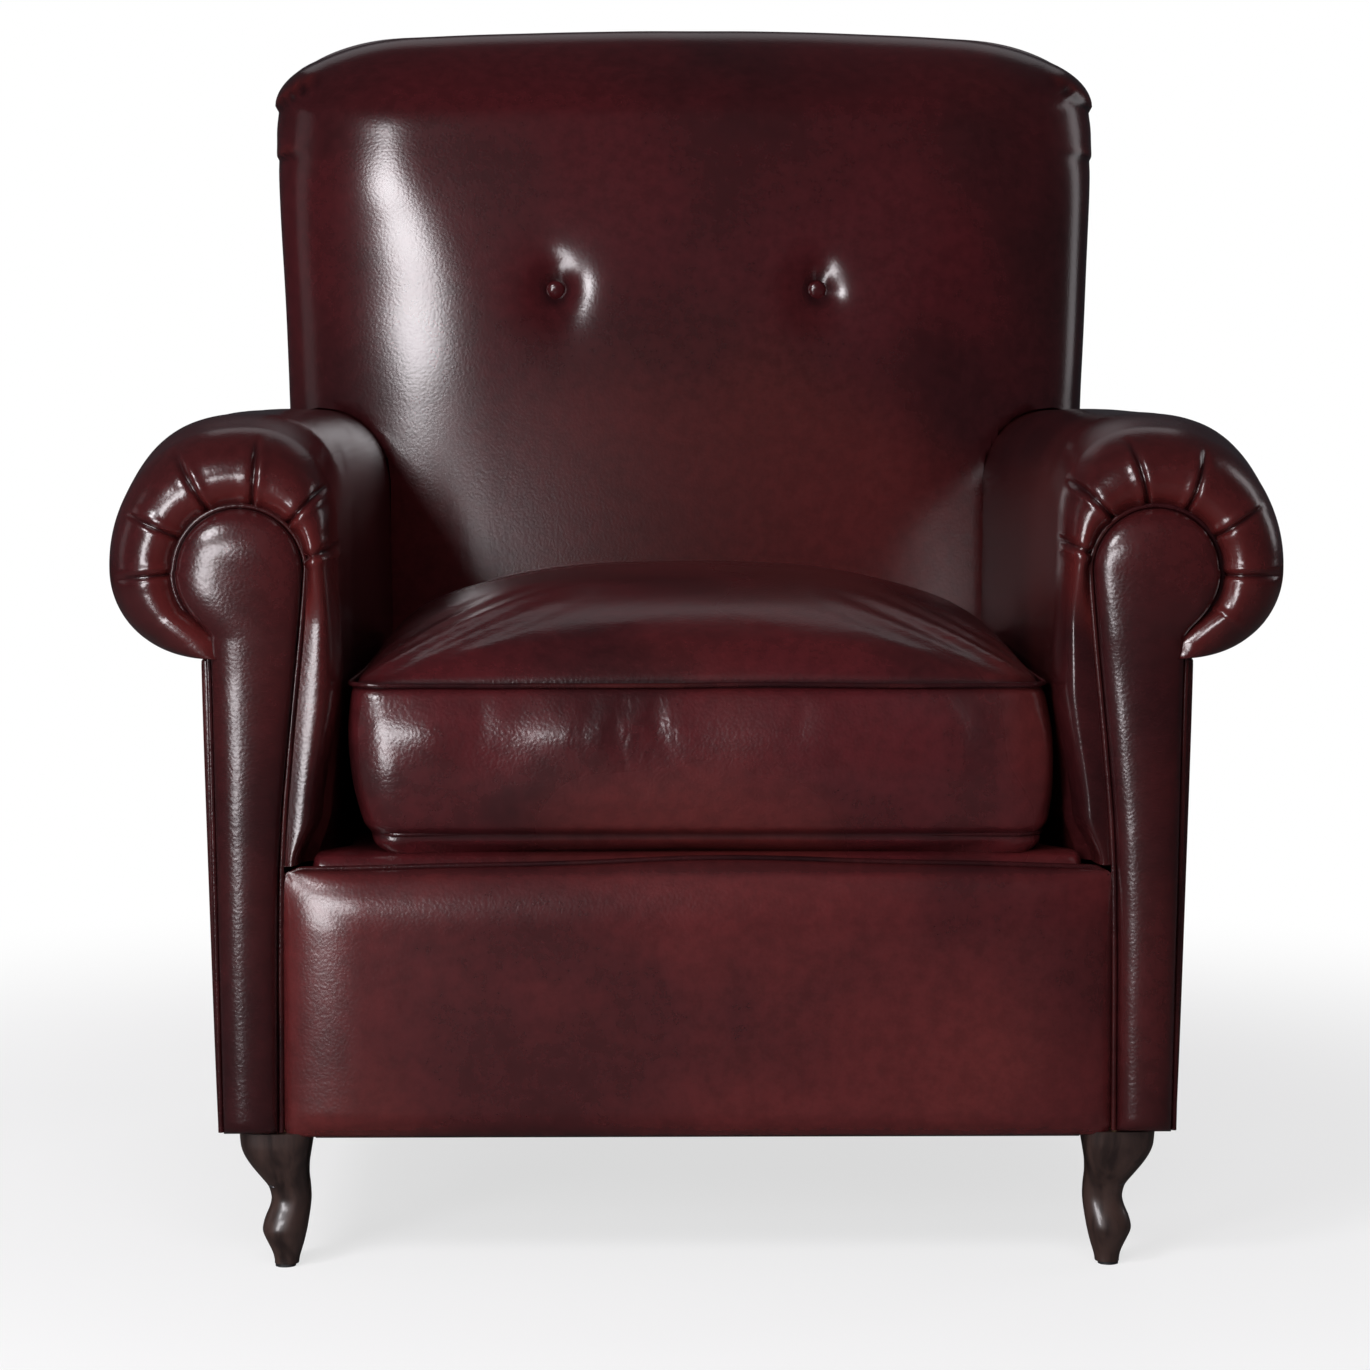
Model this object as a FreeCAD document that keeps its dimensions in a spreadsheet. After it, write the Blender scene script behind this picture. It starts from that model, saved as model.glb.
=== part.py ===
"""Scroll-arm club armchair with a loose seat cushion, in millimetres.

X runs across the chair, Y from front to back and Z up. The origin lies on the
floor, under the middle of the chair's box. The sitter faces -Y.
"""
import FreeCAD, Part
import Sketcher
import math
import os

from FreeCAD import Vector

# Driving dimensions: name and value in millimetres, or degrees where the name ends in angle
SIZES = [
    ("overall_depth", 880),
    ("overall_height", 957),
    ("leg_height", 104),
    ("frame_width", 680),
    ("rail_height", 90),
    ("rail_thickness", 30),
    ("post_width", 40),
    ("post_depth", 50),
    ("back_top_padding", 117),
    ("top_rail_height", 50),
    ("back_tack_rail_height", 40),
    ("arm_spread", 654),
    ("arm_height", 609),
    ("arm_roll_radius", 99),
    ("arm_tuck_radius", 62),
    ("arm_nose_radius", 34),
    ("arm_end_radius", 14),
    ("arm_rail_width", 50),
    ("arm_rail_depth", 40),
    ("tack_rail_height", 30),
    ("seat_width", 520),
    ("side_panel_foot", 7),
    ("side_panel_head", 16),
    ("facing_head_radius", 47),
    ("facing_neck_radius", 10),
    ("facing_inner_foot", 301),
    ("facing_inner_waist", 299),
    ("facing_outer_foot", 346),
    ("facing_outer_head", 352),
    ("facing_thickness", 15),
    ("facing_rounding", 9),
    ("board_thickness", 6),
    ("board_inset", 8),
    ("border_drop", 11),
    ("border_width", 591),
    ("border_crown", 17),
    ("border_corner_radius", 24),
    ("deck_height", 307),
    ("pad_thickness", 18),
    ("leather_thickness", 2),
    ("hessian_thickness", 1.5),
    ("webbing_width", 55),
    ("webbing_thickness", 2),
    ("dust_cover_thickness", 1),
    ("spring_radius", 38),
    ("spring_wire_radius", 2),
    ("spring_turns", 5),
    ("cushion_width", 514),
    ("back_padding_at_seat", 170),
    ("cushion_setback", 22),
    ("cushion_boxing", 109),
    ("cushion_underside_rise", 11),
    ("cushion_crown", 66),
    ("cushion_corner_radius", 28),
    ("cushion_draw_in", 4),
    ("cushion_swell", 2),
    ("cushion_piping_radius", 2.5),
    ("zip_length", 400),
    ("zip_width", 24),
    ("zip_thickness", 1),
    ("slider_length", 10),
    ("slider_height", 13),
    ("slider_thickness", 3),
    ("slider_tab_width", 6),
    ("slider_tab_drop", 16),
    ("slider_tab_thickness", 1.6),
    ("facing_piping_radius", 3),
    ("back_gap", 8),
    ("back_width_low", 712),
    ("back_width_high", 740),
    ("back_corner_radius", 84),
    ("back_top_crown", 10),
    ("back_top_rounding", 75),
    ("back_front_crown", 22),
    ("back_face_corner", 45),
    ("back_rear_corner", 18),
    ("back_inside_angle", 11.3),
    ("back_outside_angle", 8),
    ("back_panel_thickness", 8),
    ("back_panel_drop", 139),
    ("back_roll_overhang", 12),
    ("button_spacing", 233),
    ("button_drop", 235),
    ("button_radius", 9),
    ("button_thickness", 6),
    ("dimple_radius", 44),
    ("dimple_depth", 20),
    ("twine_radius", 1),
    ("toggle_radius", 4),
    ("toggle_length", 26),
    ("front_leg_top", 55),
    ("front_leg_knee", 59),
    ("front_leg_ankle", 29),
    ("front_leg_toe", 34),
    ("front_leg_foot", 17),
    ("knee_height", 90),
    ("ankle_height", 46),
    ("toe_height", 21),
    ("ankle_shift", 9),
    ("toe_shift", 4),
    ("foot_shift", 7),
    ("rear_leg_foot", 28),
    ("rear_leg_splay", 24),
    ("glide_radius", 7.5),
    ("glide_thickness", 2),
    ("bolt_radius", 4),
    ("bolt_reach", 44),
    ("hole_clearance", 0.2),
    ("soft_clearance", 0.3),
]

# Places that follow from the sizes, in the order in which they depend on each other
PLACES = [
    ("front", "-Sizes.overall_depth / 2"),
    ("rear", "Sizes.overall_depth / 2"),
    ("frame_front", "Places.front + Sizes.facing_thickness + Sizes.board_thickness"),
    ("front_rail_rear", "Places.frame_front + Sizes.rail_thickness"),
    ("rail_top", "Sizes.leg_height + Sizes.rail_height"),
    ("frame_side", "Sizes.frame_width / 2"),
    ("side_rail_inner", "Places.frame_side - Sizes.rail_thickness"),
    ("post_inner", "Places.frame_side - Sizes.post_width"),
    ("arm_centre", "Sizes.arm_spread / 2"),
    ("arm_inner", "Sizes.seat_width / 2"),
    ("arm_roll_height", "Sizes.arm_height - Sizes.arm_roll_radius"),
    ("arm_outer", "Places.arm_centre + Sizes.arm_roll_radius"),
    ("arm_underside", "Places.arm_roll_height - Sizes.arm_tuck_radius"),
    ("border_top", "Sizes.deck_height - Sizes.border_drop"),
    ("arm_base", "Places.border_top + 1"),
    ("cover_front", "Places.frame_front - Sizes.leather_thickness"),
    ("deck_side", "Places.arm_inner - Sizes.leather_thickness"),
    ("pad_top", "Sizes.deck_height - Sizes.leather_thickness"),
    ("hessian_top", "Places.pad_top - Sizes.pad_thickness"),
    ("spring_top", "Places.hessian_top - Sizes.hessian_thickness"),
    ("webbing_bottom", "Sizes.leg_height - 2 * Sizes.webbing_thickness"),
    ("post_height", "Sizes.overall_height - Sizes.back_top_padding"),
    ("panel_top", "Sizes.overall_height - Sizes.back_panel_drop"),
    ("button_height", "Sizes.overall_height - Sizes.button_drop"),
    ("post_slope", "tan(Sizes.back_outside_angle * 1 deg)"),
    ("post_foot", "Places.rear - Sizes.back_roll_overhang - Sizes.back_panel_thickness"
                  " - Places.post_slope * (Places.panel_top - Sizes.leg_height)"),
    ("rear_rail_front", "Places.post_foot - Sizes.rail_thickness"),
    ("seat_rear", "Places.post_foot + Places.post_slope * (Sizes.deck_height - Sizes.leg_height)"
                  " - Sizes.post_depth - Sizes.back_padding_at_seat"),
    ("cushion_front", "Places.front + Sizes.cushion_setback"),
    ("cushion_rear", "Places.seat_rear - Sizes.back_gap"),
    ("cushion_bottom", "Sizes.deck_height + Sizes.soft_clearance"),
    ("lower_seam", "Places.cushion_bottom + Sizes.cushion_underside_rise"),
    ("upper_seam", "Places.lower_seam + Sizes.cushion_boxing"),
    ("boxing_rear", "Places.cushion_rear - 2 * Sizes.cushion_piping_radius"),
    ("boxing_middle", "(Places.lower_seam + Places.upper_seam) / 2"),
    ("leg_centre_x", "Places.frame_side - Sizes.front_leg_top / 2 - 4"),
    ("leg_centre_y", "Places.front + Sizes.front_leg_top / 2 + 10"),
    ("rear_leg_x", "Places.frame_side - Sizes.post_width / 2"),
    ("rear_leg_y", "Places.post_foot - Sizes.post_depth / 2"),
    ("strap_pitch_across", "Places.side_rail_inner / 2"),
    ("strap_pitch_along", "(Places.rear_rail_front - Places.front_rail_rear) / 4"),
]

doc = FreeCAD.newDocument("club_armchair")
made = []


def keep_sizes():
    """Put the driving dimensions in a sheet and the places that follow from them beside it."""
    sheet = doc.addObject("Spreadsheet::Sheet", "Sizes")
    for row, (name, value) in enumerate(SIZES, start=1):
        sheet.set(f"A{row}", name)
        sheet.set(f"B{row}", str(value))
        sheet.setAlias(f"B{row}", name)
    doc.recompute()
    places = doc.addObject("App::VarSet", "Places")
    for name, rule in PLACES:
        places.addProperty("App::PropertyFloat", name, "Places")
        places.setExpression(name, rule)
        doc.recompute()
    return sheet, places


sizes, places = keep_sizes()
NONE = Vector(0, 0, 0)
SIDES = (("left", -1), ("right", 1))


def keep(piece, name):
    """Give a finished piece its name and put it on the list of pieces to write."""
    piece.Label = name
    made.append(piece)
    return piece


def solid(name, shape):
    """Keep a shape as a piece of its own."""
    piece = doc.addObject("Part::Feature", name)
    piece.Shape = shape
    piece.Placement = FreeCAD.Placement()
    return keep(piece, name)


def mirrored(right, name):
    """Keep the mirror image of a right-hand piece as the left-hand one."""
    piece = doc.addObject("Part::Mirroring", name)
    piece.Source = right
    piece.Base = NONE
    piece.Normal = Vector(1, 0, 0)
    return keep(piece, name)


def block(name, x, y, z):
    """Make a box whose pairs of ends across, along and up are expressions."""
    box = doc.addObject("Part::Box", name)
    for axis, side, (start, end) in zip("xyz", ("Length", "Width", "Height"), (x, y, z)):
        box.setExpression(f"Placement.Base.{axis}", start)
        box.setExpression(side, f"({end}) - ({start})")
    doc.recompute()
    return box


def rod(name, radius, height, x, y, z):
    """Make an upright cylinder whose sizes and place are expressions."""
    cylinder = doc.addObject("Part::Cylinder", name)
    cylinder.setExpression("Radius", radius)
    cylinder.setExpression("Height", height)
    for axis, place in zip("xyz", (x, y, z)):
        cylinder.setExpression(f"Placement.Base.{axis}", place)
    doc.recompute()
    return cylinder


def group(name, parts):
    """Keep several separate solids as one named piece."""
    compound = doc.addObject("Part::Compound", name)
    compound.Links = parts
    doc.recompute()
    return keep(compound, name)


def cut(name, base, tool):
    """Make a cut of one object by another."""
    result = doc.addObject("Part::Cut", name)
    result.Base = base
    result.Tool = tool
    doc.recompute()
    return result


def rectangle(x, y, z):
    """Draw a level rectangle between two ends across and two ends along."""
    corners = [(x[0], y[0]), (x[1], y[0]), (x[1], y[1]), (x[0], y[1])]
    points = [Vector(px, py, z) for px, py in corners]
    return Part.makePolygon(points + points[:1])


def loft(wires, ruled=True):
    """Loft a closed solid through wires, with faces that point outwards."""
    body = Part.makeLoft(wires, True, ruled)
    if body.Volume < 0:
        body.reverse()
    return body


def raked(lower, upper):
    """Loft a block between two level rectangles, each given as x, y and z."""
    return loft([rectangle(*lower), rectangle(*upper)])


def path_edges(steps):
    """Join points by lines and three-point arcs; a step of two points is an arc."""
    edges = []
    here = steps[0][0]
    for step in steps[1:]:
        there = step[-1]
        if len(step) == 2:
            edges.append(Part.Arc(here, step[0], there).toShape())
        else:
            edges.append(Part.LineSegment(here, there).toShape())
        here = there
    return edges


def quarter_steps(radius, count):
    """Advance and inset along a quarter round, from its tangent to its crown."""
    steps = []
    for index in range(count + 1):
        angle = math.pi / 2 * index / count
        steps.append((radius * math.sin(angle), radius * (1 - math.cos(angle))))
    return steps


def rounded_rectangle(x, y, z, radius, draw=(0, 0, 0, 0)):
    """Draw a level outline with round corners, its front, right, rear and left sides drawn in."""
    centres = [Vector(px, py, z) for px, py in (
        (x[0] + radius, y[0] + radius), (x[1] - radius, y[0] + radius),
        (x[1] - radius, y[1] - radius), (x[0] + radius, y[1] - radius))]
    leans = []
    for side, depth in enumerate(draw):
        half = (centres[(side + 1) % 4] - centres[side]).Length / 2
        leans.append(math.asin(2 * depth * half / (half ** 2 + depth ** 2)))

    def rim(corner, angle):
        return centres[corner] + Vector(math.cos(angle), math.sin(angle), 0) * radius

    steps = [[rim(0, leans[0] - math.pi / 2)]]
    for side, depth in enumerate(draw):
        end = (side + 1) % 4
        outward = math.pi / 2 * (side - 1)
        leaving = outward - leans[side]
        turned = outward + math.pi / 2 + leans[end]
        middle = (centres[side] + centres[end]) / 2
        bow = Vector(math.cos(outward), math.sin(outward), 0) * (radius - depth)
        steps.append([middle + bow, rim(end, leaving)] if depth else [rim(end, leaving)])
        steps.append([rim(end, (leaving + turned) / 2), rim(end, turned)])
    return Part.Wire(path_edges(steps))


def outside_back(height):
    """Depth of the frame's raked rear plane at a height."""
    return places.post_foot + places.post_slope * (height - sizes.leg_height)


def post_front(height):
    """Depth of the back posts' front face at a height."""
    return outside_back(height) - sizes.post_depth


def inside_back(height):
    """Depth of the inside back's side edges at a height, behind its crown."""
    slope = math.tan(math.radians(sizes.back_inside_angle))
    return places.seat_rear + sizes.back_front_crown + slope * (height - sizes.deck_height)


# Sketched pieces

def new_sketch(body, name, role):
    """Attach a sketch to one of its own body's origin planes."""
    sketch = body.newObject("Sketcher::SketchObject", name)
    plane = [item for item in body.Origin.OriginFeatures if item.Role == role][0]
    sketch.AttachmentSupport = (plane, [""])
    sketch.MapMode = "FlatFace"
    doc.recompute()
    return sketch


def chain(sketch, count):
    """Join the ends of a sketch's edges in a ring."""
    for index in range(count):
        sketch.addConstraint(Sketcher.Constraint("Coincident", index, 2, (index + 1) % count, 1))


def bind(sketch, kind, value, *where):
    """Add a dimension to a sketch and bind it to an expression."""
    index = sketch.addConstraint(Sketcher.Constraint(kind, *where, 1.0))
    sketch.setExpression(f"Constraints[{index}]", value)


def turned_body(name, points):
    """Turn a closed outline, given as pairs of radius and height expressions, about the upright axis."""
    body = doc.addObject("PartDesign::Body", name)
    sketch = new_sketch(body, f"{name}_outline", "XZ_Plane")
    rough = [Vector(0 if radius == "0" else 10, 5 * index, 0)
             for index, (radius, height) in enumerate(points)]
    for index, here in enumerate(rough):
        sketch.addGeometry(Part.LineSegment(here, rough[(index + 1) % len(rough)]), False)
    chain(sketch, len(points))
    for index, (radius, height) in enumerate(points):
        if radius == "0":
            sketch.addConstraint(Sketcher.Constraint("PointOnObject", index, 1, -2))
        else:
            bind(sketch, "DistanceX", radius, -1, 1, index, 1)
        if height == "0":
            sketch.addConstraint(Sketcher.Constraint("PointOnObject", index, 1, -1))
        else:
            bind(sketch, "DistanceY", height, -1, 1, index, 1)
    doc.recompute()
    turned = body.newObject("PartDesign::Revolution", f"{name}_turned")
    turned.Profile = sketch
    turned.ReferenceAxis = (sketch, ["V_Axis"])
    turned.Angle = 360
    doc.recompute()
    return body


def scroll_board(name, inset, low, front, rear):
    """Cut a board to the scroll outline and pad it between two depths, given as expressions."""
    body = doc.addObject("PartDesign::Body", name)
    sketch = new_sketch(body, f"{name}_outline", "XZ_Plane")
    edges = path_edges(scroll_steps(inset, low, 0, True))
    for edge in edges:
        points = [edge.valueAt(edge.FirstParameter + share * (edge.LastParameter - edge.FirstParameter))
                  for share in (0, 0.5, 1)]
        flat = [Vector(point.x, point.z, 0) for point in points]
        straight = edge.Curve.TypeId == "Part::GeomLine"
        curve = Part.LineSegment(flat[0], flat[2]) if straight else Part.Arc(*flat)
        sketch.addGeometry(curve, False)
    sketch.setExpression("AttachmentOffset.Base.z", f"-({rear})")
    doc.recompute()
    pad = body.newObject("PartDesign::Pad", f"{name}_pad")
    pad.Profile = sketch
    pad.setExpression("Length", f"({rear}) - ({front})")
    doc.recompute()
    return keep(body, name)


# Frame

def make_seat_rails():
    """Make the four rails of the seat frame and the blocks that brace its corners."""
    rail_z = ("Sizes.leg_height", "Places.rail_top")
    front_blank = block("front_rail_blank", ("-Places.frame_side", "Places.frame_side"),
                        ("Places.frame_front", "Places.front_rail_rear"), rail_z)
    holes = [rod(f"front_rail_hole_{side}", "Sizes.bolt_radius + Sizes.hole_clearance",
                 "Sizes.bolt_reach + 1", f"{sign} * Places.leg_centre_x", "Places.leg_centre_y",
                 "Sizes.leg_height")
             for side, sign in SIDES]
    keep(cut("front_seat_rail", cut("front_rail_first_hole", front_blank, holes[0]), holes[1]),
         "front_seat_rail")
    keep(block("rear_seat_rail", ("-Places.post_inner", "Places.post_inner"),
               ("Places.rear_rail_front", "Places.post_foot"), rail_z), "rear_seat_rail")
    across = (places.side_rail_inner, places.frame_side)
    right = solid("right_seat_rail", raked(
        (across, (places.front_rail_rear, post_front(sizes.leg_height)), sizes.leg_height),
        (across, (places.front_rail_rear, post_front(places.rail_top)), places.rail_top)))
    mirrored(right, "left_seat_rail")
    solid("corner_blocks", Part.makeCompound([
        corner_block(sign, end) for side, sign in SIDES for end in ("front", "rear")]))


def corner_block(sign, end):
    """Make one three-sided block in a corner of the seat frame."""
    leg = 2 * sizes.rail_thickness
    corner_y = places.front_rail_rear if end == "front" else places.rear_rail_front
    inward = 1 if end == "front" else -1
    corner_x = places.side_rail_inner if end == "front" else places.post_inner
    corners = [
        Vector(sign * corner_x, corner_y, sizes.leg_height),
        Vector(sign * (corner_x - leg), corner_y, sizes.leg_height),
        Vector(sign * corner_x, corner_y + inward * leg, sizes.leg_height),
    ]
    face = Part.Face(Part.makePolygon(corners + corners[:1]))
    return face.extrude(Vector(0, 0, sizes.rail_height / 2))


def make_back_frame():
    """Make the raked posts of the back and the rails between them."""
    def post_level(height):
        return ((places.post_inner, places.frame_side), (post_front(height), outside_back(height)), height)

    post = raked(post_level(sizes.leg_height), post_level(places.post_height))
    bolt_x = places.rear_leg_x
    bolt_y = places.rear_leg_y
    hole = Part.makeCylinder(sizes.bolt_radius + sizes.hole_clearance, sizes.bolt_reach + 1,
                             Vector(bolt_x, bolt_y, sizes.leg_height))
    right = solid("right_back_post", post.cut(hole))
    mirrored(right, "left_back_post")
    between = (-places.post_inner, places.post_inner)
    top_z = places.post_height
    solid("back_top_rail", back_board(between, top_z - sizes.top_rail_height, top_z))
    solid("back_tack_rail", back_board(between, *back_tack_rail_ends()))


def back_tack_rail_ends():
    """Heights of the lower rail of the back, just over the seat."""
    low = sizes.deck_height
    return low, low + sizes.back_tack_rail_height


def back_board(across, low, high):
    """Make a raked board at the front of the posts."""
    def level(height):
        return (across, (post_front(height), post_front(height) + sizes.rail_thickness), height)

    return raked(level(low), level(high))


def make_arm_frame():
    """Make the rails of the arms, and the stumps that carry their fronts."""
    across = (places.side_rail_inner, places.side_rail_inner + sizes.arm_rail_width)
    middle = places.arm_roll_height
    low = middle - sizes.arm_rail_depth / 2
    high = middle + sizes.arm_rail_depth / 2
    rail = raked((across, (places.front_rail_rear, post_front(low)), low),
                 (across, (places.front_rail_rear, post_front(high)), high))
    right = solid("right_arm_rail", rail)
    mirrored(right, "left_arm_rail")
    across = (places.side_rail_inner, places.frame_side)
    high = places.arm_base
    low = high - sizes.tack_rail_height
    tack = raked((across, (places.front_rail_rear, post_front(low)), low),
                 (across, (places.front_rail_rear, post_front(high)), high))
    right = solid("right_arm_tack_rail", tack)
    mirrored(right, "left_arm_tack_rail")
    right = scroll_board("right_arm_stump", sizes.board_inset, places.rail_top,
                         "Places.frame_front", "Places.front_rail_rear")
    mirrored(right, "left_arm_stump")


# Scroll facings

def side_at(foot, foot_height, head, head_height, height):
    """Distance from the chair's middle, at a height, of a facing's straight edge."""
    return foot + (head - foot) * (height - foot_height) / (head_height - foot_height)


def scroll_steps(inset, low, depth, closed):
    """Points of the scroll outline, inset all round, from its inner foot over the head and neck."""
    radius = sizes.facing_head_radius - inset
    centre = Vector(places.arm_centre, depth, places.arm_roll_height)
    waist = min(places.border_top, centre.z - radius)
    foot = sizes.leg_height
    inner_foot = side_at(sizes.facing_inner_foot, foot, sizes.facing_inner_waist, waist, low) + inset
    outer_foot = side_at(sizes.facing_outer_foot, foot, sizes.facing_outer_head, centre.z, low) - inset
    neck = sizes.facing_neck_radius
    reach = sizes.facing_head_radius + neck
    beside = sizes.facing_outer_head + neck - centre.x
    below = math.sqrt(reach ** 2 - beside ** 2)
    neck_centre = centre + Vector(beside, 0, -below)
    turn = math.atan2(-below, beside)

    def round_head(angle):
        return centre + Vector(math.cos(angle), 0, math.sin(angle)) * radius

    def round_neck(angle):
        return neck_centre + Vector(math.cos(angle), 0, math.sin(angle)) * (neck + inset)

    steps = [
        [Vector(inner_foot, depth, low)],
        [Vector(sizes.facing_inner_waist + inset, depth, waist)],
        [round_head(math.pi)],
        [round_head(0.75 * math.pi), round_head(0.5 * math.pi)],
        [round_head(0.25 * math.pi), round_head(0)],
        [round_head(turn / 2), round_head(turn)],
        [round_neck(math.pi + turn / 2), round_neck(math.pi)],
        [Vector(outer_foot, depth, low)],
    ]
    if closed:
        steps.append(steps[0])
    return steps


def scroll_prism(inset, low, front, rear):
    """Make a board of the scroll outline between two depths."""
    face = Part.Face(Part.Wire(path_edges(scroll_steps(inset, low, front, True))))
    return face.extrude(Vector(0, rear - front, 0))


def make_facings():
    """Make the boards, padded covers and piping that face the arms."""
    low = sizes.leg_height
    right = scroll_board("right_facing_board", sizes.board_inset, low,
                         "Places.front + Sizes.facing_thickness", "Places.frame_front")
    mirrored(right, "left_facing_board")
    sections = []
    for advance, inset in quarter_steps(sizes.facing_rounding, 3):
        depth = places.front + sizes.facing_rounding - advance
        edge = sizes.facing_piping_radius + inset
        sections.append(Part.Wire(path_edges(scroll_steps(edge, low, depth, True))))
    depth = places.front + sizes.facing_thickness
    flat = Part.Wire(path_edges(scroll_steps(sizes.facing_piping_radius, low, depth, True)))
    right = solid("right_facing_cover", loft([flat] + sections))
    mirrored(right, "left_facing_cover")
    right = solid("right_facing_piping", facing_piping(low + sizes.soft_clearance))
    mirrored(right, "left_facing_piping")


def facing_piping(low):
    """Run the piping up the inner edge of a facing, round its head and down the outer edge."""
    radius = sizes.facing_piping_radius
    depth = places.cover_front - radius
    edges = path_edges(scroll_steps(0, low, depth, False))
    start = edges[0].valueAt(edges[0].FirstParameter)
    along = edges[0].tangentAt(edges[0].FirstParameter)
    section = Part.Wire(Part.makeCircle(radius, start, along))
    return Part.Wire(edges).makePipeShell([section], True)


# Arms

def arm_outline(depth, inset, base):
    """Outline of the right arm at a depth: inner face, roll, and the frame's outer plane."""
    inner = places.arm_inner + inset
    shoulder = places.arm_centre - places.arm_inner
    shoulder_z = sizes.arm_height - shoulder
    top = sizes.arm_height - inset
    outer = places.arm_outer - inset
    under = places.arm_underside + inset
    tuck_x = places.arm_outer - sizes.arm_tuck_radius
    slant = math.sqrt(0.5)
    steps = [
        [Vector(inner, depth, base)],
        [Vector(inner, depth, shoulder_z)],
        [Vector(places.arm_centre - (shoulder - inset) * slant, depth,
                shoulder_z + (shoulder - inset) * slant), Vector(places.arm_centre, depth, top)],
        [Vector(places.arm_centre + (sizes.arm_roll_radius - inset) * slant, depth,
                places.arm_roll_height + (sizes.arm_roll_radius - inset) * slant),
         Vector(outer, depth, places.arm_roll_height)],
        [Vector(tuck_x + (sizes.arm_tuck_radius - inset) * slant, depth,
                places.arm_roll_height - (sizes.arm_tuck_radius - inset) * slant),
         Vector(tuck_x, depth, under)],
        [Vector(places.frame_side, depth, under)],
        [Vector(places.frame_side, depth, base)],
        [Vector(inner, depth, base)],
    ]
    return Part.Wire(path_edges(steps))


def arm_rear():
    """Depth at which the arm's roll ends, in front of the outside back."""
    return outside_back(places.arm_underside) - sizes.soft_clearance


def arm_form(inset):
    """Loft the arm's upholstered form, inset all round, with its nose and rear end rounded."""
    nose = sizes.arm_nose_radius - inset
    end = sizes.arm_end_radius - inset
    sections = []
    for advance, draw in reversed(quarter_steps(nose, 4)):
        sections.append((places.cover_front + sizes.arm_nose_radius - advance, inset + draw))
    for advance, draw in quarter_steps(end, 3):
        sections.append((arm_rear() - sizes.arm_end_radius + advance, inset + draw))
    form = loft([arm_outline(depth, draw, places.arm_base) for depth, draw in sections])
    low = places.arm_base
    high = places.arm_underside
    across = (places.arm_inner, places.frame_side)
    behind = raked((across, (outside_back(low) - inset, places.rear), low),
                   (across, (outside_back(high) - inset, places.rear), high))
    return form.cut(behind)


def arm_passage():
    """The space that both arms take out of the back, with room to spare."""
    clearance = -sizes.soft_clearance
    near = arm_outline(places.front, clearance, sizes.leg_height)
    right = Part.Face(near).extrude(Vector(0, sizes.overall_depth, 0))
    beside = Part.makeBox(places.arm_outer, sizes.overall_depth, places.arm_roll_height - sizes.leg_height,
                          Vector(places.frame_side, places.front, sizes.leg_height))
    right = right.fuse(beside)
    left = right.mirror(NONE, Vector(1, 0, 0))
    return Part.makeCompound([right, left])


def make_arms():
    """Make the webbing, pads, covers and outside panels of the arms."""
    names = ("right_arm_stump", "right_arm_rail", "right_back_post", "back_tack_rail")
    frame = [doc.getObject(name).Shape for name in names]
    sheet_x = (places.side_rail_inner - sizes.hessian_thickness, places.side_rail_inner)
    low = places.arm_base
    high = places.arm_roll_height
    hessian = raked((sheet_x, (places.front_rail_rear, post_front(low)), low),
                    (sheet_x, (places.front_rail_rear, post_front(high)), high))
    right = solid("right_arm_hessian", hessian)
    mirrored(right, "left_arm_hessian")
    pad = arm_form(sizes.leather_thickness + sizes.soft_clearance)
    for piece in frame + [hessian]:
        pad = pad.cut(piece)
    behind = Part.makeBox(sizes.rail_thickness, sizes.overall_depth, places.arm_roll_height - places.arm_base,
                          Vector(places.side_rail_inner, places.front, places.arm_base))
    pad = largest(pad.cut(behind))
    right = solid("right_arm_pad", pad)
    mirrored(right, "left_arm_pad")
    cover = arm_form(0).cut(arm_form(sizes.leather_thickness))
    for piece in frame:
        cover = cover.cut(piece)
    opening = scroll_prism(sizes.board_inset, sizes.leg_height, places.front, places.frame_front)
    right = solid("right_arm_cover", largest(cover.cut(opening)))
    mirrored(right, "left_arm_cover")
    panel = raked(
        ((places.frame_side, places.frame_side + sizes.side_panel_foot),
         (places.frame_front, outside_back(sizes.leg_height)), sizes.leg_height),
        ((places.frame_side, places.frame_side + sizes.side_panel_head),
         (places.frame_front, outside_back(places.arm_underside)), places.arm_underside))
    right = solid("right_outside_arm_panel", panel.cut(frame[0]))
    mirrored(right, "left_outside_arm_panel")


def largest(shape):
    """Keep the main solid of a cut, without the crumbs that it leaves."""
    return max(shape.Solids, key=lambda item: item.Volume)


# Back

def back_outline(height, width, front, rear, inset):
    """Level outline of the back: a bowed face, round side edges and a flat rear."""
    depth = rear - front - 2 * inset
    face = min(sizes.back_face_corner - inset, 0.48 * depth)
    behind = min(sizes.back_rear_corner - inset, 0.48 * depth)
    half = width - inset
    y0 = front + inset
    y1 = rear - inset
    slant = 1 - math.sqrt(0.5)
    crown = sizes.back_front_crown
    steps = [
        [Vector(face - half, y0, height)],
        [Vector(0, y0 - crown, height), Vector(half - face, y0, height)],
        [Vector(half - face * slant, y0 + face * slant, height), Vector(half, y0 + face, height)],
        [Vector(half, y1 - behind, height)],
        [Vector(half - behind * slant, y1 - behind * slant, height), Vector(half - behind, y1, height)],
        [Vector(behind - half, y1, height)],
        [Vector(behind * slant - half, y1 - behind * slant, height), Vector(-half, y1 - behind, height)],
        [Vector(-half, y0 + face, height)],
        [Vector(face * slant - half, y0 + face * slant, height), Vector(face - half, y0, height)],
    ]
    return Part.Wire(path_edges(steps))


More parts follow.
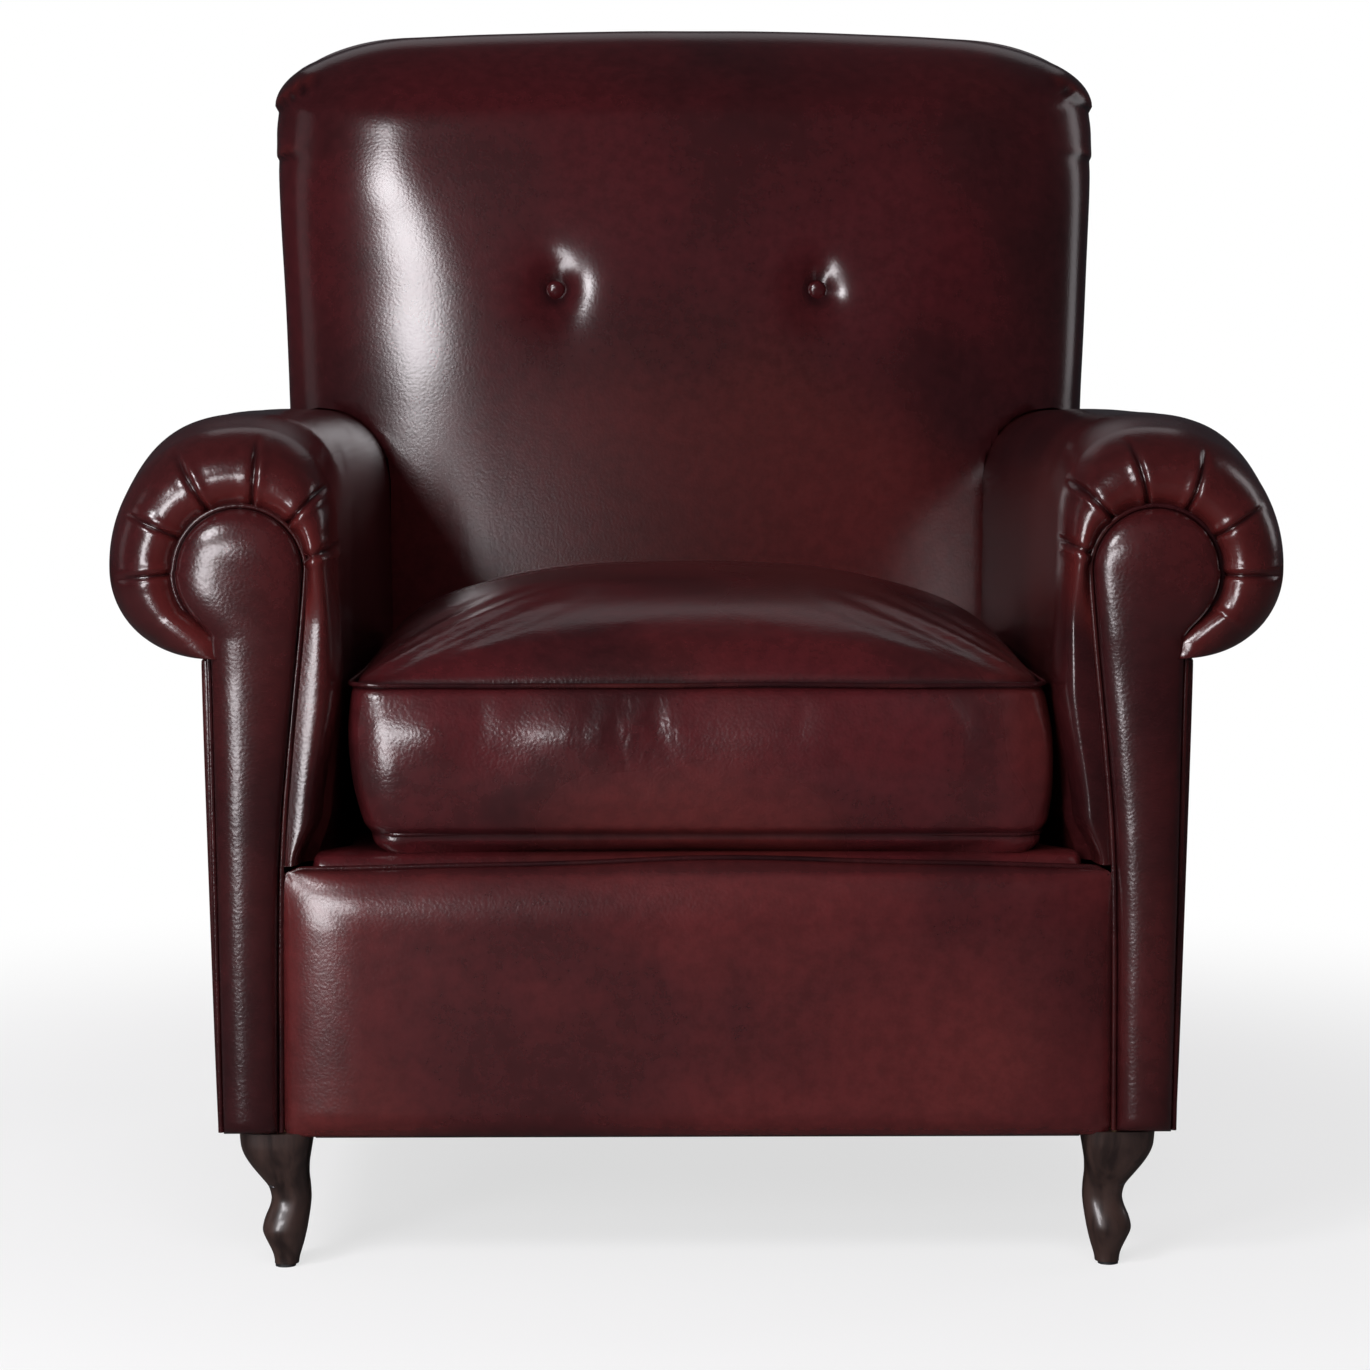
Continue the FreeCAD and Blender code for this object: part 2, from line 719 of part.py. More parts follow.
def back_half_width(height):
    """Half the back's width, which flares upwards from the arms."""
    spring = back_spring()
    share = (height - sizes.arm_height) / (spring - sizes.arm_height)
    return (sizes.back_width_low + (sizes.back_width_high - sizes.back_width_low) * share) / 2


def back_spring():
    """Height at which the back's top begins to round over."""
    return sizes.overall_height - sizes.back_top_crown - sizes.back_corner_radius


def back_form(inset):
    """Loft the upholstered back, inset all round, up over its rounded top."""
    spring = back_spring()
    overhang_start = places.panel_top
    overhang_end = (overhang_start + spring) / 2
    sections = [
        (sizes.deck_height, inside_back(sizes.deck_height), outside_back(sizes.deck_height)),
        (overhang_start, inside_back(overhang_start), outside_back(overhang_start)),
        (overhang_end, inside_back(overhang_end), places.rear),
    ]
    wires = [back_outline(height, back_half_width(height), front, rear, inset)
             for height, front, rear in sections]
    front = inside_back(spring)
    rounding = sizes.back_top_rounding
    for advance, draw in quarter_steps(sizes.back_corner_radius, 5)[:-1]:
        share = rounding / sizes.back_corner_radius
        height = spring + advance * (1 - inset / sizes.back_corner_radius)
        wires.append(back_outline(height, back_half_width(spring) - draw, front + draw * share,
                                  places.rear - draw * share, inset))
    summit = sizes.overall_height - inset
    narrow = back_half_width(spring) - 3 * sizes.back_corner_radius
    wires.append(back_outline(summit, narrow, front + 0.9 * rounding, places.rear - 0.9 * rounding, inset))
    return loft(wires)


def dimple(sign, inset):
    """Cone that draws the face in at a button."""
    face = button_face()
    slant = math.radians(sizes.back_inside_angle)
    outward = Vector(0, -math.cos(slant), math.sin(slant))
    bottom = Vector(sign * sizes.button_spacing / 2, face, places.button_height) - outward * (
        sizes.dimple_depth + inset)
    reach = 2 * sizes.dimple_depth
    wide = sizes.button_radius + (sizes.dimple_radius - sizes.button_radius) * 2
    return Part.makeCone(sizes.button_radius + 1 + inset, wide + inset, reach, bottom, outward)


def button_face():
    """Depth of the inside back's face at the buttons."""
    half = back_half_width(places.button_height) - sizes.back_face_corner
    share = sizes.button_spacing / 2 / half
    return inside_back(places.button_height) - sizes.back_front_crown * (1 - share ** 2)


def make_back():
    """Make the webbing, pad, cover and outside panel of the back."""
    straps = back_webbing()
    solid("back_webbing", Part.makeCompound(straps))
    passage = arm_passage()
    soft = sizes.leather_thickness + sizes.soft_clearance
    pad = back_form(soft).cut(passage)
    for name in ("right_back_post", "left_back_post", "back_top_rail", "back_tack_rail"):
        pad = pad.cut(doc.getObject(name).Shape)
    layers = 2 * sizes.webbing_thickness
    hollow = raked(
        ((-places.frame_side, places.frame_side),
         (post_front(sizes.deck_height) - layers, places.rear), sizes.deck_height),
        ((-places.frame_side, places.frame_side),
         (post_front(places.post_height) - layers, places.rear), places.post_height))
    pad = pad.cut(hollow)
    for side, sign in SIDES:
        pad = pad.cut(dimple(sign, soft)).cut(button_channel(sign))
    solid("back_pad", largest(pad))
    cover = back_form(0).cut(back_form(sizes.leather_thickness)).cut(passage)
    half = back_half_width(places.panel_top) - sizes.back_rear_corner
    top = places.panel_top
    opening = raked(
        ((-half, half), (post_front(sizes.deck_height), places.rear), sizes.deck_height),
        ((-half, half), (post_front(top), places.rear), top))
    cover = cover.cut(opening)
    for side, sign in SIDES:
        cover = cover.cut(doc.getObject(f"{side}_back_post").Shape)
    lining = back_form(0).cut(back_form(sizes.leather_thickness + sizes.dimple_depth))
    for side, sign in SIDES:
        skin = lining.common(dimple(sign, sizes.leather_thickness)).cut(dimple(sign, 0))
        cover = cover.cut(dimple(sign, sizes.leather_thickness)).fuse(skin)
        cover = cover.cut(button_channel(sign))
    solid("inside_back_cover", largest(cover))
    low = sizes.leg_height
    half_low = places.frame_side + sizes.side_panel_foot
    half_high = back_half_width(top) - sizes.leather_thickness
    solid("outside_back_panel", raked(
        ((-half_low, half_low), (outside_back(low), outside_back(low) + sizes.back_panel_thickness), low),
        ((-half_high, half_high), (outside_back(top), outside_back(top) + sizes.back_panel_thickness), top)))


def back_webbing():
    """Make three upright straps and two level ones in front of them."""
    thick = sizes.webbing_thickness
    half = sizes.webbing_width / 2
    low, low_end = back_tack_rail_ends()
    straps = []
    for step in (-1, 0, 1):
        middle = step * places.strap_pitch_across
        across = (middle - half, middle + half)
        straps.append(raked(*[
            (across, (post_front(height) - thick, post_front(height)), height)
            for height in (low, places.post_height)]))
    for middle in (places.button_height - 2 * half, places.button_height + 2 * half):
        across = (-places.frame_side, places.frame_side)
        ends = (middle - half, middle + half)
        straps.append(raked(*[
            (across, (post_front(height) - 2 * thick, post_front(height) - thick), height)
            for height in ends]))
    return straps


def button_channel(sign):
    """Hole through the back's padding for a button's twine."""
    start = Vector(sign * sizes.button_spacing / 2, places.front, places.button_height)
    radius = sizes.twine_radius + sizes.hole_clearance
    return Part.makeCylinder(radius, sizes.overall_depth, start, Vector(0, 1, 0))


def make_buttons():
    """Make the tufting buttons, their twines and the toggles that anchor them."""
    slant = math.radians(sizes.back_inside_angle)
    outward = Vector(0, -math.cos(slant), math.sin(slant))
    buttons = []
    twines = []
    toggles = []
    anchor = post_front(places.button_height)
    profile = [("0", "0"), ("Sizes.button_radius", "0"),
               ("Sizes.button_radius", "0.4 * Sizes.button_thickness"),
               ("0.6 * Sizes.button_radius", "0.9 * Sizes.button_thickness"),
               ("0", "Sizes.button_thickness")]
    for side, sign in SIDES:
        seat = Vector(sign * sizes.button_spacing / 2, button_face(), places.button_height) - outward * (
            sizes.dimple_depth - sizes.soft_clearance)
        button = turned_body(f"{side}_button", profile)
        button.Placement = FreeCAD.Placement(seat, FreeCAD.Rotation(Vector(0, 0, 1), outward))
        buttons.append(button)
        start = Vector(seat.x, seat.y + sizes.button_radius * math.tan(slant) + 1, places.button_height)
        twines.append(Part.makeCylinder(sizes.twine_radius, anchor - start.y, start, Vector(0, 1, 0)))
        rest = anchor + sizes.toggle_radius / math.cos(math.radians(sizes.back_outside_angle))
        across = Vector(seat.x - sizes.toggle_length / 2, rest, places.button_height)
        toggles.append(Part.makeCylinder(sizes.toggle_radius, sizes.toggle_length, across, Vector(1, 0, 0)))
    group("back_buttons", buttons)
    solid("button_twines", Part.makeCompound(twines))
    solid("button_toggles", Part.makeCompound(toggles))


# Seat

def make_seat():
    """Make the webbing, springs, hessian, pad and leather of the seat deck."""
    thick = sizes.webbing_thickness
    half = sizes.webbing_width / 2
    level = sizes.leg_height
    rear = places.rear_rail_front + half
    straps = []
    springs = []
    for step in (-1, 0, 1):
        middle = step * places.strap_pitch_across
        straps.append(Part.makeBox(2 * half, rear - places.frame_front, thick,
                                   Vector(middle - half, places.frame_front, level - thick)))
        row = places.front_rail_rear + (step + 2) * places.strap_pitch_along
        straps.append(Part.makeBox(sizes.frame_width, 2 * half, thick,
                                   Vector(-places.frame_side, row - half, level - 2 * thick)))
        for other in (-1, 0, 1):
            springs.append(coil_spring(other * places.strap_pitch_across, row))
    solid("seat_webbing", Part.makeCompound(straps))
    solid("seat_springs", Part.makeCompound(springs))
    make_hessian()
    across = ("-Places.deck_side", "Places.deck_side")
    keep(block("seat_pad", across, ("Places.front_rail_rear", "Places.rear_rail_front"),
               ("Places.hessian_top", "Places.pad_top")), "seat_pad")
    keep(block("platform_cover", across, ("Places.frame_front", "Places.rear_rail_front"),
               ("Places.pad_top", "Sizes.deck_height")), "platform_cover")
    edge = ("-Sizes.border_width / 2", "Sizes.border_width / 2")
    keep(block("front_edge_roll", edge, ("Places.frame_front", "Places.front_rail_rear"),
               ("Places.rail_top", "Places.border_top")), "front_edge_roll")
    make_dust_cover()


def coil_spring(x, y):
    """Wind one seat spring between the webbing and the hessian from tilted half turns."""
    wire = sizes.spring_wire_radius
    radius = sizes.spring_radius
    low = sizes.leg_height + wire
    half_turns = 2 * round(sizes.spring_turns)
    rise = (places.spring_top - wire - low) / half_turns
    steps = [[Vector(x + radius, y, low)]]
    for index in range(half_turns):
        sign = 1 if index % 2 == 0 else -1
        middle = Vector(x, y + sign * radius, low + (index + 0.5) * rise)
        end = Vector(x - sign * radius, y, low + (index + 1) * rise)
        slant = math.sqrt(0.5)
        for share in (-slant, slant):
            quarter = Vector(x - sign * share * radius, y + sign * slant * radius,
                             middle.z + share * rise / 2)
            steps.append([quarter, middle if share < 0 else end])
    path = Part.Wire(path_edges(steps))
    section = Part.Wire(Part.makeCircle(wire, steps[0][0], Vector(0, 1, 0)))
    return path.makePipeShell([section], True)


def make_hessian():
    """Lay the hessian over the springs and turn it down onto the front and rear rails."""
    half = places.deck_side
    sheet = sizes.hessian_thickness
    rear = places.rear_rail_front
    drop = places.rail_top - sizes.rail_height / 2
    outer = Part.makeBox(2 * half, rear - places.front_rail_rear, places.hessian_top - drop,
                         Vector(-half, places.front_rail_rear, drop))
    inner = Part.makeBox(2 * half, rear - places.front_rail_rear - 2 * sheet, places.spring_top - drop,
                         Vector(-half, places.front_rail_rear + sheet, drop))
    blocks = doc.getObject("corner_blocks").Shape
    solid("seat_hessian", largest(outer.cut(inner).cut(blocks)))


def make_dust_cover():
    """Close the chair's underside with a thin cloth, notched round the legs."""
    thick = sizes.dust_cover_thickness
    low = places.webbing_bottom - thick
    margin = sizes.dust_cover_thickness * 2
    front = places.frame_front + margin
    rear = outside_back(sizes.leg_height) - margin
    half = places.frame_side - margin
    cloth = Part.makeBox(2 * half, rear - front, thick, Vector(-half, front, low))
    notch = sizes.front_leg_top + 3 * margin
    for side, sign in SIDES:
        for corner_y in (front, rear - notch):
            corner_x = half - notch if sign > 0 else -half
            cloth = cloth.cut(Part.makeBox(notch, notch, thick, Vector(corner_x, corner_y, low)))
    solid("dust_cover", cloth)


# Front border

def border_wire(depth, inset):
    """Outline of the front border at a depth, with its upper corners rounded."""
    half = sizes.border_width / 2 - inset
    low = sizes.leg_height + inset
    high = places.border_top - inset
    radius = sizes.border_corner_radius
    bend = radius * (1 - math.sqrt(0.5))
    steps = [
        [Vector(-half, depth, low)],
        [Vector(half, depth, low)],
        [Vector(half, depth, high - radius)],
        [Vector(half - bend, depth, high - bend), Vector(half - radius, depth, high)],
        [Vector(radius - half, depth, high)],
        [Vector(bend - half, depth, high - bend), Vector(-half, depth, high - radius)],
        [Vector(-half, depth, low)],
    ]
    return Part.Wire(path_edges(steps))


def border_pillow(inset):
    """Loft the pillow of the front border, inset all round but for its flat back."""
    crown = sizes.border_crown - inset
    wires = []
    for advance, draw in quarter_steps(crown, 4):
        wires.append(border_wire(places.frame_front - advance, inset + 1.6 * draw))
    return loft(wires)


def make_border():
    """Make the front border's pad, its cover and the piping along its top."""
    pad = border_pillow(sizes.leather_thickness + sizes.soft_clearance)
    solid("front_border_pad", pad)
    solid("front_border_cover", largest(border_pillow(0).cut(border_pillow(sizes.leather_thickness))))
    radius = sizes.facing_piping_radius
    half = sizes.border_width / 2 - sizes.border_corner_radius
    depth = places.frame_front - radius
    height = places.border_top + radius
    solid("front_border_piping", Part.makeCylinder(
        radius, 2 * half, Vector(-half, depth, height), Vector(1, 0, 0)))


# Loose seat cushion

def cushion_outline(height, inset, swell=0):
    """Level outline of the cushion: sides drawn in between the corners, and a straight rear."""
    piping = 2 * sizes.cushion_piping_radius
    half = sizes.cushion_width / 2 - piping - inset
    front = places.cushion_front + piping + inset
    rear = places.boxing_rear - inset
    pull = sizes.cushion_draw_in - swell
    radius = min(sizes.cushion_corner_radius + 0.5 * inset, 0.6 * half, 0.3 * (rear - front))
    return rounded_rectangle((-half, half), (front, rear), height, radius, (pull, pull, 0, pull))


def cushion_form(inset):
    """Loft the boxed cushion, inset all round, with its belly, boxing and crown."""
    wires = []
    belly = 3 * sizes.cushion_underside_rise
    rise = sizes.cushion_underside_rise - inset
    for advance, draw in reversed(quarter_steps(rise, 2)):
        wires.append(cushion_outline(places.lower_seam - advance, inset + belly * draw / rise))
    wires.append(cushion_outline(places.boxing_middle, inset, sizes.cushion_swell))
    crown = sizes.cushion_crown - inset
    least = min(sizes.cushion_width, places.cushion_rear - places.cushion_front)
    spread = least / 2 - 2 * sizes.cushion_corner_radius
    for share in (0, 0.1, 0.25, 0.45, 0.7, 1):
        lift = crown * (1 - (1 - share) ** 2)
        wires.append(cushion_outline(places.upper_seam + lift, inset + spread * share ** 1.2))
    return loft(wires)


def make_cushion():
    """Make the loose cushion's core, cover, piping and zip."""
    skin = sizes.leather_thickness
    solid("cushion_core", cushion_form(skin + sizes.soft_clearance))
    radius = sizes.cushion_piping_radius
    rings = []
    for height in (places.lower_seam, places.upper_seam):
        path = cushion_outline(height, -radius)
        first = path.Edges[0]
        start = first.valueAt(first.FirstParameter)
        section = Part.Wire(Part.makeCircle(radius, start, first.tangentAt(first.FirstParameter)))
        rings.append(path.makePipeShell([section], True))
    solid("cushion_piping", Part.makeCompound(rings))
    cover = cushion_form(0).cut(cushion_form(skin))
    solid("cushion_cover", largest(cover.cut(rings[0]).cut(rings[1])))
    keep(block("cushion_zip", ("-Sizes.zip_length / 2", "Sizes.zip_length / 2"),
               ("Places.boxing_rear", "Places.boxing_rear + Sizes.zip_thickness"),
               ("Places.boxing_middle - Sizes.zip_width / 2", "Places.boxing_middle + Sizes.zip_width / 2")),
         "cushion_zip")
    start = "Places.boxing_rear + Sizes.zip_thickness + Sizes.soft_clearance"
    body = block("slider_body", ("-Sizes.zip_length / 2", "Sizes.slider_length - Sizes.zip_length / 2"),
                 (start, f"{start} + Sizes.slider_thickness"),
                 ("Places.boxing_middle - Sizes.slider_height / 2",
                  "Places.boxing_middle + Sizes.slider_height / 2"))
    middle = "(Sizes.slider_length - Sizes.zip_length) / 2"
    half = "Sizes.slider_tab_width / 2"
    tab = block("slider_tab", (f"{middle} - {half}", f"{middle} + {half}"),
                (f"{start} + Sizes.slider_thickness - Sizes.slider_tab_thickness",
                 f"{start} + Sizes.slider_thickness"),
                ("Places.boxing_middle - Sizes.slider_height / 2 - Sizes.slider_tab_drop",
                 "Places.boxing_middle"))
    slider = doc.addObject("Part::Fuse", "zip_slider")
    slider.Base = body
    slider.Tool = tab
    keep(slider, "zip_slider")


# Legs

def front_leg_section(height, width, shift, roundness):
    """Level section of a front leg: a square with round corners, shifted in from the corner."""
    middle_x = places.leg_centre_x - shift
    middle_y = places.leg_centre_y + shift
    half = width / 2
    return rounded_rectangle((middle_x - half, middle_x + half), (middle_y - half, middle_y + half),
                             height, roundness * width)


def front_leg():
    """Loft a cabriole leg from its toe over the ankle and knee to the rail."""
    foot = sizes.glide_thickness
    sections = [
        (foot, sizes.front_leg_foot, sizes.foot_shift, 0.45),
        (sizes.toe_height, sizes.front_leg_toe, sizes.toe_shift, 0.45),
        (sizes.ankle_height, sizes.front_leg_ankle, sizes.ankle_shift, 0.45),
        (sizes.knee_height, sizes.front_leg_knee, 0, 0.3),
        (sizes.leg_height, sizes.front_leg_top, 0, 0.25),
    ]
    leg = loft([front_leg_section(*section) for section in sections], ruled=False)
    hole = bolt_hole(places.leg_centre_x, places.leg_centre_y)
    return leg.cut(hole)


def rear_leg():
    """Make a square leg that tapers and splays back from under its post."""
    x = places.rear_leg_x
    y = places.rear_leg_y
    foot = sizes.rear_leg_foot / 2
    top = ((x - sizes.post_width / 2, x + sizes.post_width / 2),
           (y - sizes.post_depth / 2, y + sizes.post_depth / 2), sizes.leg_height)
    back = y + sizes.rear_leg_splay
    bottom = ((x - foot, x + foot), (back - foot, back + foot), sizes.glide_thickness)
    return raked(bottom, top).cut(bolt_hole(x, y))


def bolt_hole(x, y):
    """Make the hole that a leg's bolt leaves."""
    start = Vector(x, y, sizes.leg_height - sizes.bolt_reach)
    return Part.makeCylinder(sizes.bolt_radius + sizes.hole_clearance, 2 * sizes.bolt_reach, start)


def make_legs():
    """Make the legs, their bolts and the glides under them."""
    mirrored(solid("front_right_leg", front_leg()), "front_left_leg")
    mirrored(solid("rear_right_leg", rear_leg()), "rear_left_leg")
    places_of_legs = (("front", "Places.leg_centre_x", "Places.leg_centre_y",
                       "Sizes.foot_shift", "Sizes.foot_shift"),
                      ("rear", "Places.rear_leg_x", "Places.rear_leg_y", "0", "Sizes.rear_leg_splay"))
    bolts = []
    glides = []
    for end, x, y, shift_x, shift_y in places_of_legs:
        for side, sign in SIDES:
            bolts.append(rod(f"{end}_{side}_bolt", "Sizes.bolt_radius", "2 * Sizes.bolt_reach",
                             f"{sign} * ({x})", y, "Sizes.leg_height - Sizes.bolt_reach"))
            glides.append(rod(f"{end}_{side}_glide", "Sizes.glide_radius", "Sizes.glide_thickness",
                              f"{sign} * ({x} - {shift_x})", f"{y} + {shift_y}", "0"))
    group("leg_bolts", bolts)
    group("leg_glides", glides)


def write_parts():
    """Check every object and write each piece to its own file."""
    doc.recompute()
    for item in doc.Objects:
        if "Invalid" in item.State or "Error" in item.State:
            raise RuntimeError(f"{item.Name} failed: {item.State}")
    os.makedirs("parts", exist_ok=True)
    for piece in made:
        shape = piece.Shape
        if shape.isNull() or not shape.isValid() or not shape.Solids:
            raise RuntimeError(f"{piece.Label} has no valid shape")
    for piece in made:
        piece.Shape.exportStep(f"parts/{piece.Label}.step")


make_seat_rails()
make_back_frame()
make_arm_frame()
make_facings()
make_arms()
make_back()
make_buttons()
make_seat()
make_border()
make_cushion()
make_legs()
write_parts()
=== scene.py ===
"""Scroll-arm club armchair in antiqued oxblood leather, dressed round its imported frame.

Every length is in metres, in the frame's axes: X across, Y from front to back, Z up.
"""
import logging
import math
from collections.abc import Iterator, Sequence
from contextlib import contextmanager
from dataclasses import dataclass
from enum import Enum

import bpy
import numpy as np
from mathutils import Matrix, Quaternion, Vector


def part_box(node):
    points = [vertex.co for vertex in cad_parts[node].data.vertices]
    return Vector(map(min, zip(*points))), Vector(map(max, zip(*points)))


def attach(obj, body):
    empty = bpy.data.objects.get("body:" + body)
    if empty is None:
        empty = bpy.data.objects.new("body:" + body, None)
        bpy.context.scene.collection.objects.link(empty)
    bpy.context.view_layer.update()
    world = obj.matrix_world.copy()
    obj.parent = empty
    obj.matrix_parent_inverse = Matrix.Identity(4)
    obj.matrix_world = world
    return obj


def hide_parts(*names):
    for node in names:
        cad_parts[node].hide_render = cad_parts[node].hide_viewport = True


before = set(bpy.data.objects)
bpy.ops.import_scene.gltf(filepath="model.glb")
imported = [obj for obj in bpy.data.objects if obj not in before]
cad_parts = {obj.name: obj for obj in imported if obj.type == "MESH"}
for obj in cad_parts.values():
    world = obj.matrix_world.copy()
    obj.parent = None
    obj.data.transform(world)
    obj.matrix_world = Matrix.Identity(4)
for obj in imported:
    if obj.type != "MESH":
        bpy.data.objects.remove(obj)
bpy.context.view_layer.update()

logging.basicConfig(level=logging.INFO, format="%(message)s")
LOG = logging.getLogger("armchair")

Array = np.ndarray
Colour = tuple[float, float, float]
Point = tuple[float, float, float]

# Distance under which points merge, height of the legs, gap between neighbours and the
# slope of the outside back
MERGE = 2e-6
LEG_TOP = 0.104
CLEARANCE = 0.0004
BACK_RAKE = 0.14054


class Side(Enum):
    """The sitter-facing sides of the chair, with the sign of their X."""

    LEFT = -1
    RIGHT = 1

    @property
    def word(self) -> str:
        """Name that the frame's nodes use for this side."""
        return self.name.lower()


class Body(Enum):
    """Bodies that the dressed pieces ride on."""

    CHAIR = "chair"
    CUSHION = "cushion"


# Mesh helpers


def deselect() -> None:
    """Leave edit mode and deselect every object."""
    if bpy.context.object and bpy.context.object.mode != "OBJECT":
        bpy.ops.object.mode_set(mode="OBJECT")
    bpy.ops.object.select_all(action="DESELECT")


def pick(piece: bpy.types.Object) -> None:
    """Make a piece the only selected and the active one."""
    deselect()
    piece.select_set(True)
    bpy.context.view_layer.objects.active = piece


@contextmanager
def editing(piece: bpy.types.Object, action: str = "DESELECT") -> Iterator[None]:
    """Edit a piece's mesh, with nothing or all of it selected.

    Args:
        piece: The object to edit.
        action: What select_all does first, SELECT or DESELECT.
    """
    pick(piece)
    bpy.ops.object.mode_set(mode="EDIT")
    bpy.ops.mesh.select_all(action=action)
    yield
    bpy.ops.object.mode_set(mode="OBJECT")


@contextmanager
def editing_only(piece: bpy.types.Object, kind: str, chosen: Sequence[bool]) -> Iterator[None]:
    """Edit a piece's mesh with only some of its edges or faces selected.

    Args:
        piece: The object to edit.
        kind: What is chosen, EDGE or FACE.
        chosen: Whether each edge or face is selected.
    """
    with editing(piece):
        bpy.ops.mesh.select_mode(type=kind)
        bpy.ops.object.mode_set(mode="OBJECT")
        parts = piece.data.edges if kind == "EDGE" else piece.data.polygons
        parts.foreach_set("select", chosen)
        bpy.ops.object.mode_set(mode="EDIT")
        yield


def points_of(piece: bpy.types.Object) -> Array:
    """Give a mesh's points, one row each."""
    flat = np.empty(len(piece.data.vertices) * 3)
    piece.data.vertices.foreach_get("co", flat)
    return flat.reshape(-1, 3)


def put_points(piece: bpy.types.Object, points: Array) -> None:
    """Move a mesh's points to new places."""
    piece.data.vertices.foreach_set("co", np.ascontiguousarray(points, dtype=float).ravel())
    piece.data.update()


def stack(x: Array, y: Array, z: Array) -> Array:
    """Make rows of points from three equal lists of coordinates."""
    return np.column_stack(np.broadcast_arrays(x, y, z))


def grid(name: str, columns: int, rows: int) -> tuple[bpy.types.Object, Array, Array]:
    """Add a flat grid.

    Args:
        name: The piece's name.
        columns: Cells across.
        rows: Cells along.

    Returns:
        The object, and each point's share across and along, from 0 to 1.
    """
    deselect()
    bpy.ops.mesh.primitive_grid_add(x_subdivisions=columns, y_subdivisions=rows, size=2)
    piece = bpy.context.object
    piece.name = name
    points = points_of(piece)
    return piece, (points[:, 0] + 1) / 2, (points[:, 1] + 1) / 2


def cube(name: str, cells: tuple[int, int, int]) -> tuple[bpy.types.Object, Array]:
    """Add a cube and subdivide its edges, axis by axis.

    Args:
        name: The piece's name.
        cells: Cells along X, Y and Z.

    Returns:
        The object, and its points in shares from -1 to 1.
    """
    deselect()
    bpy.ops.mesh.primitive_cube_add(size=2)
    piece = bpy.context.object
    piece.name = name
    for axis, count in enumerate(cells):
        points = points_of(piece)
        ends = np.array([edge.vertices[:] for edge in piece.data.edges])
        along = np.abs(points[ends[:, 0], axis] - points[ends[:, 1], axis]) > 1e-6
        with editing_only(piece, "EDGE", along):
            bpy.ops.mesh.subdivide(number_cuts=count - 1)
    return piece, points_of(piece)


def tidy_mesh(piece: bpy.types.Object, angle: float = 50) -> None:
    """Merge doubled points, point the faces outwards and shade smooth under an angle in degrees."""
    with editing(piece, "SELECT"):
        bpy.ops.mesh.remove_doubles(threshold=MERGE)
        bpy.ops.mesh.dissolve_degenerate(threshold=MERGE / 2)
        bpy.ops.mesh.normals_make_consistent(inside=False)
    pick(piece)
    bpy.ops.object.shade_smooth_by_angle(angle=math.radians(angle))


def close_behind(piece: bpy.types.Object, depth: float) -> None:
    """Extrude a panel's open edge straight back to a depth and close it there."""
    with editing(piece, "SELECT"):
        bpy.ops.mesh.remove_doubles(threshold=MERGE)
        bpy.ops.mesh.select_all(action="DESELECT")
        bpy.ops.mesh.select_mode(type="EDGE")
        bpy.ops.mesh.select_non_manifold(extend=False)
        bpy.ops.mesh.extrude_edges_move(TRANSFORM_OT_translate={"value": (0, 0.0001, 0)})
        bpy.ops.object.mode_set(mode="OBJECT")
        points = points_of(piece)
        chosen = np.array([vertex.select for vertex in piece.data.vertices])
        points[chosen, 1] = depth
        put_points(piece, points)
        bpy.ops.object.mode_set(mode="EDIT")
        bpy.ops.mesh.edge_face_add()
    tidy_mesh(piece)


def apply_modifier(piece: bpy.types.Object, kind: str, **settings: float) -> None:
    """Apply a modifier of a kind, with some settings, to a piece."""
    pick(piece)
    modifier = piece.modifiers.new(kind.lower(), kind)
    for name, value in settings.items():
        setattr(modifier, name, value)
    bpy.ops.object.modifier_apply(modifier=modifier.name)


def push(piece: bpy.types.Object, amounts: Array) -> None:
    """Move each point along its normal, outwards where the amount is positive."""
    normals = np.empty(len(piece.data.vertices) * 3)
    piece.data.vertex_normals.foreach_get("vector", normals)
    put_points(piece, points_of(piece) + normals.reshape(-1, 3) * amounts[:, None])


def paint(piece: bpy.types.Object, values: Array, name: str = "crease_shade") -> None:
    """Store a share at each point, from 0 to 1: painted shade, rubbed wear with painted highlight,
    or slack.
    """
    layer = piece.data.attributes.new(name, "FLOAT", "POINT")
    layer.data.foreach_set("value", np.clip(values, 0, 1).astype(np.float32))


def smooth_step(value: Array, start: float, end: float) -> Array:
    """Rise smoothly from 0 at a start to 1 at an end."""
    share = np.clip((np.asarray(value, float) - start) / (end - start), 0, 1)
    return share * share * (3 - 2 * share)


def hump(value: Array, middle: float, width: float) -> Array:
    """Rise to 1 at a middle and fall off on both sides."""
    return np.exp(-(((value - middle) / width) ** 2))


def smooth_table(where: Array, ties: Array, values: Array) -> Array:
    """Read a table with a smooth curve through its rows."""
    reach, width = 22, 13.0
    fine = np.linspace(ties[0], ties[-1], 400)
    rough = np.interp(fine, ties, values)
    weights = np.exp(-(np.arange(-reach, reach + 1) / width) ** 2)
    padded = np.pad(rough, reach, mode="edge")
    smooth = np.convolve(padded, weights / weights.sum(), mode="valid")
    hold = np.minimum(smooth_step(fine, ties[0], ties[0] + 0.003),
                      1 - smooth_step(fine, ties[-1] - 0.003, ties[-1]))
    return np.interp(where, fine, rough + (smooth - rough) * hold)


def stretches(share: Array, knots: Sequence[float]) -> list[Array]:
    """Give each point's share of every stretch between two knots, from 0 to 1."""
    return [np.clip((share - low) / (high - low), 0, 1) for low, high in zip(knots, knots[1:])]


def quarter(share: Array) -> Array:
    """Rise round a quarter circle, from 0 to 1."""
    return np.sqrt(1 - (1 - np.clip(share, 0, 1)) ** 2)


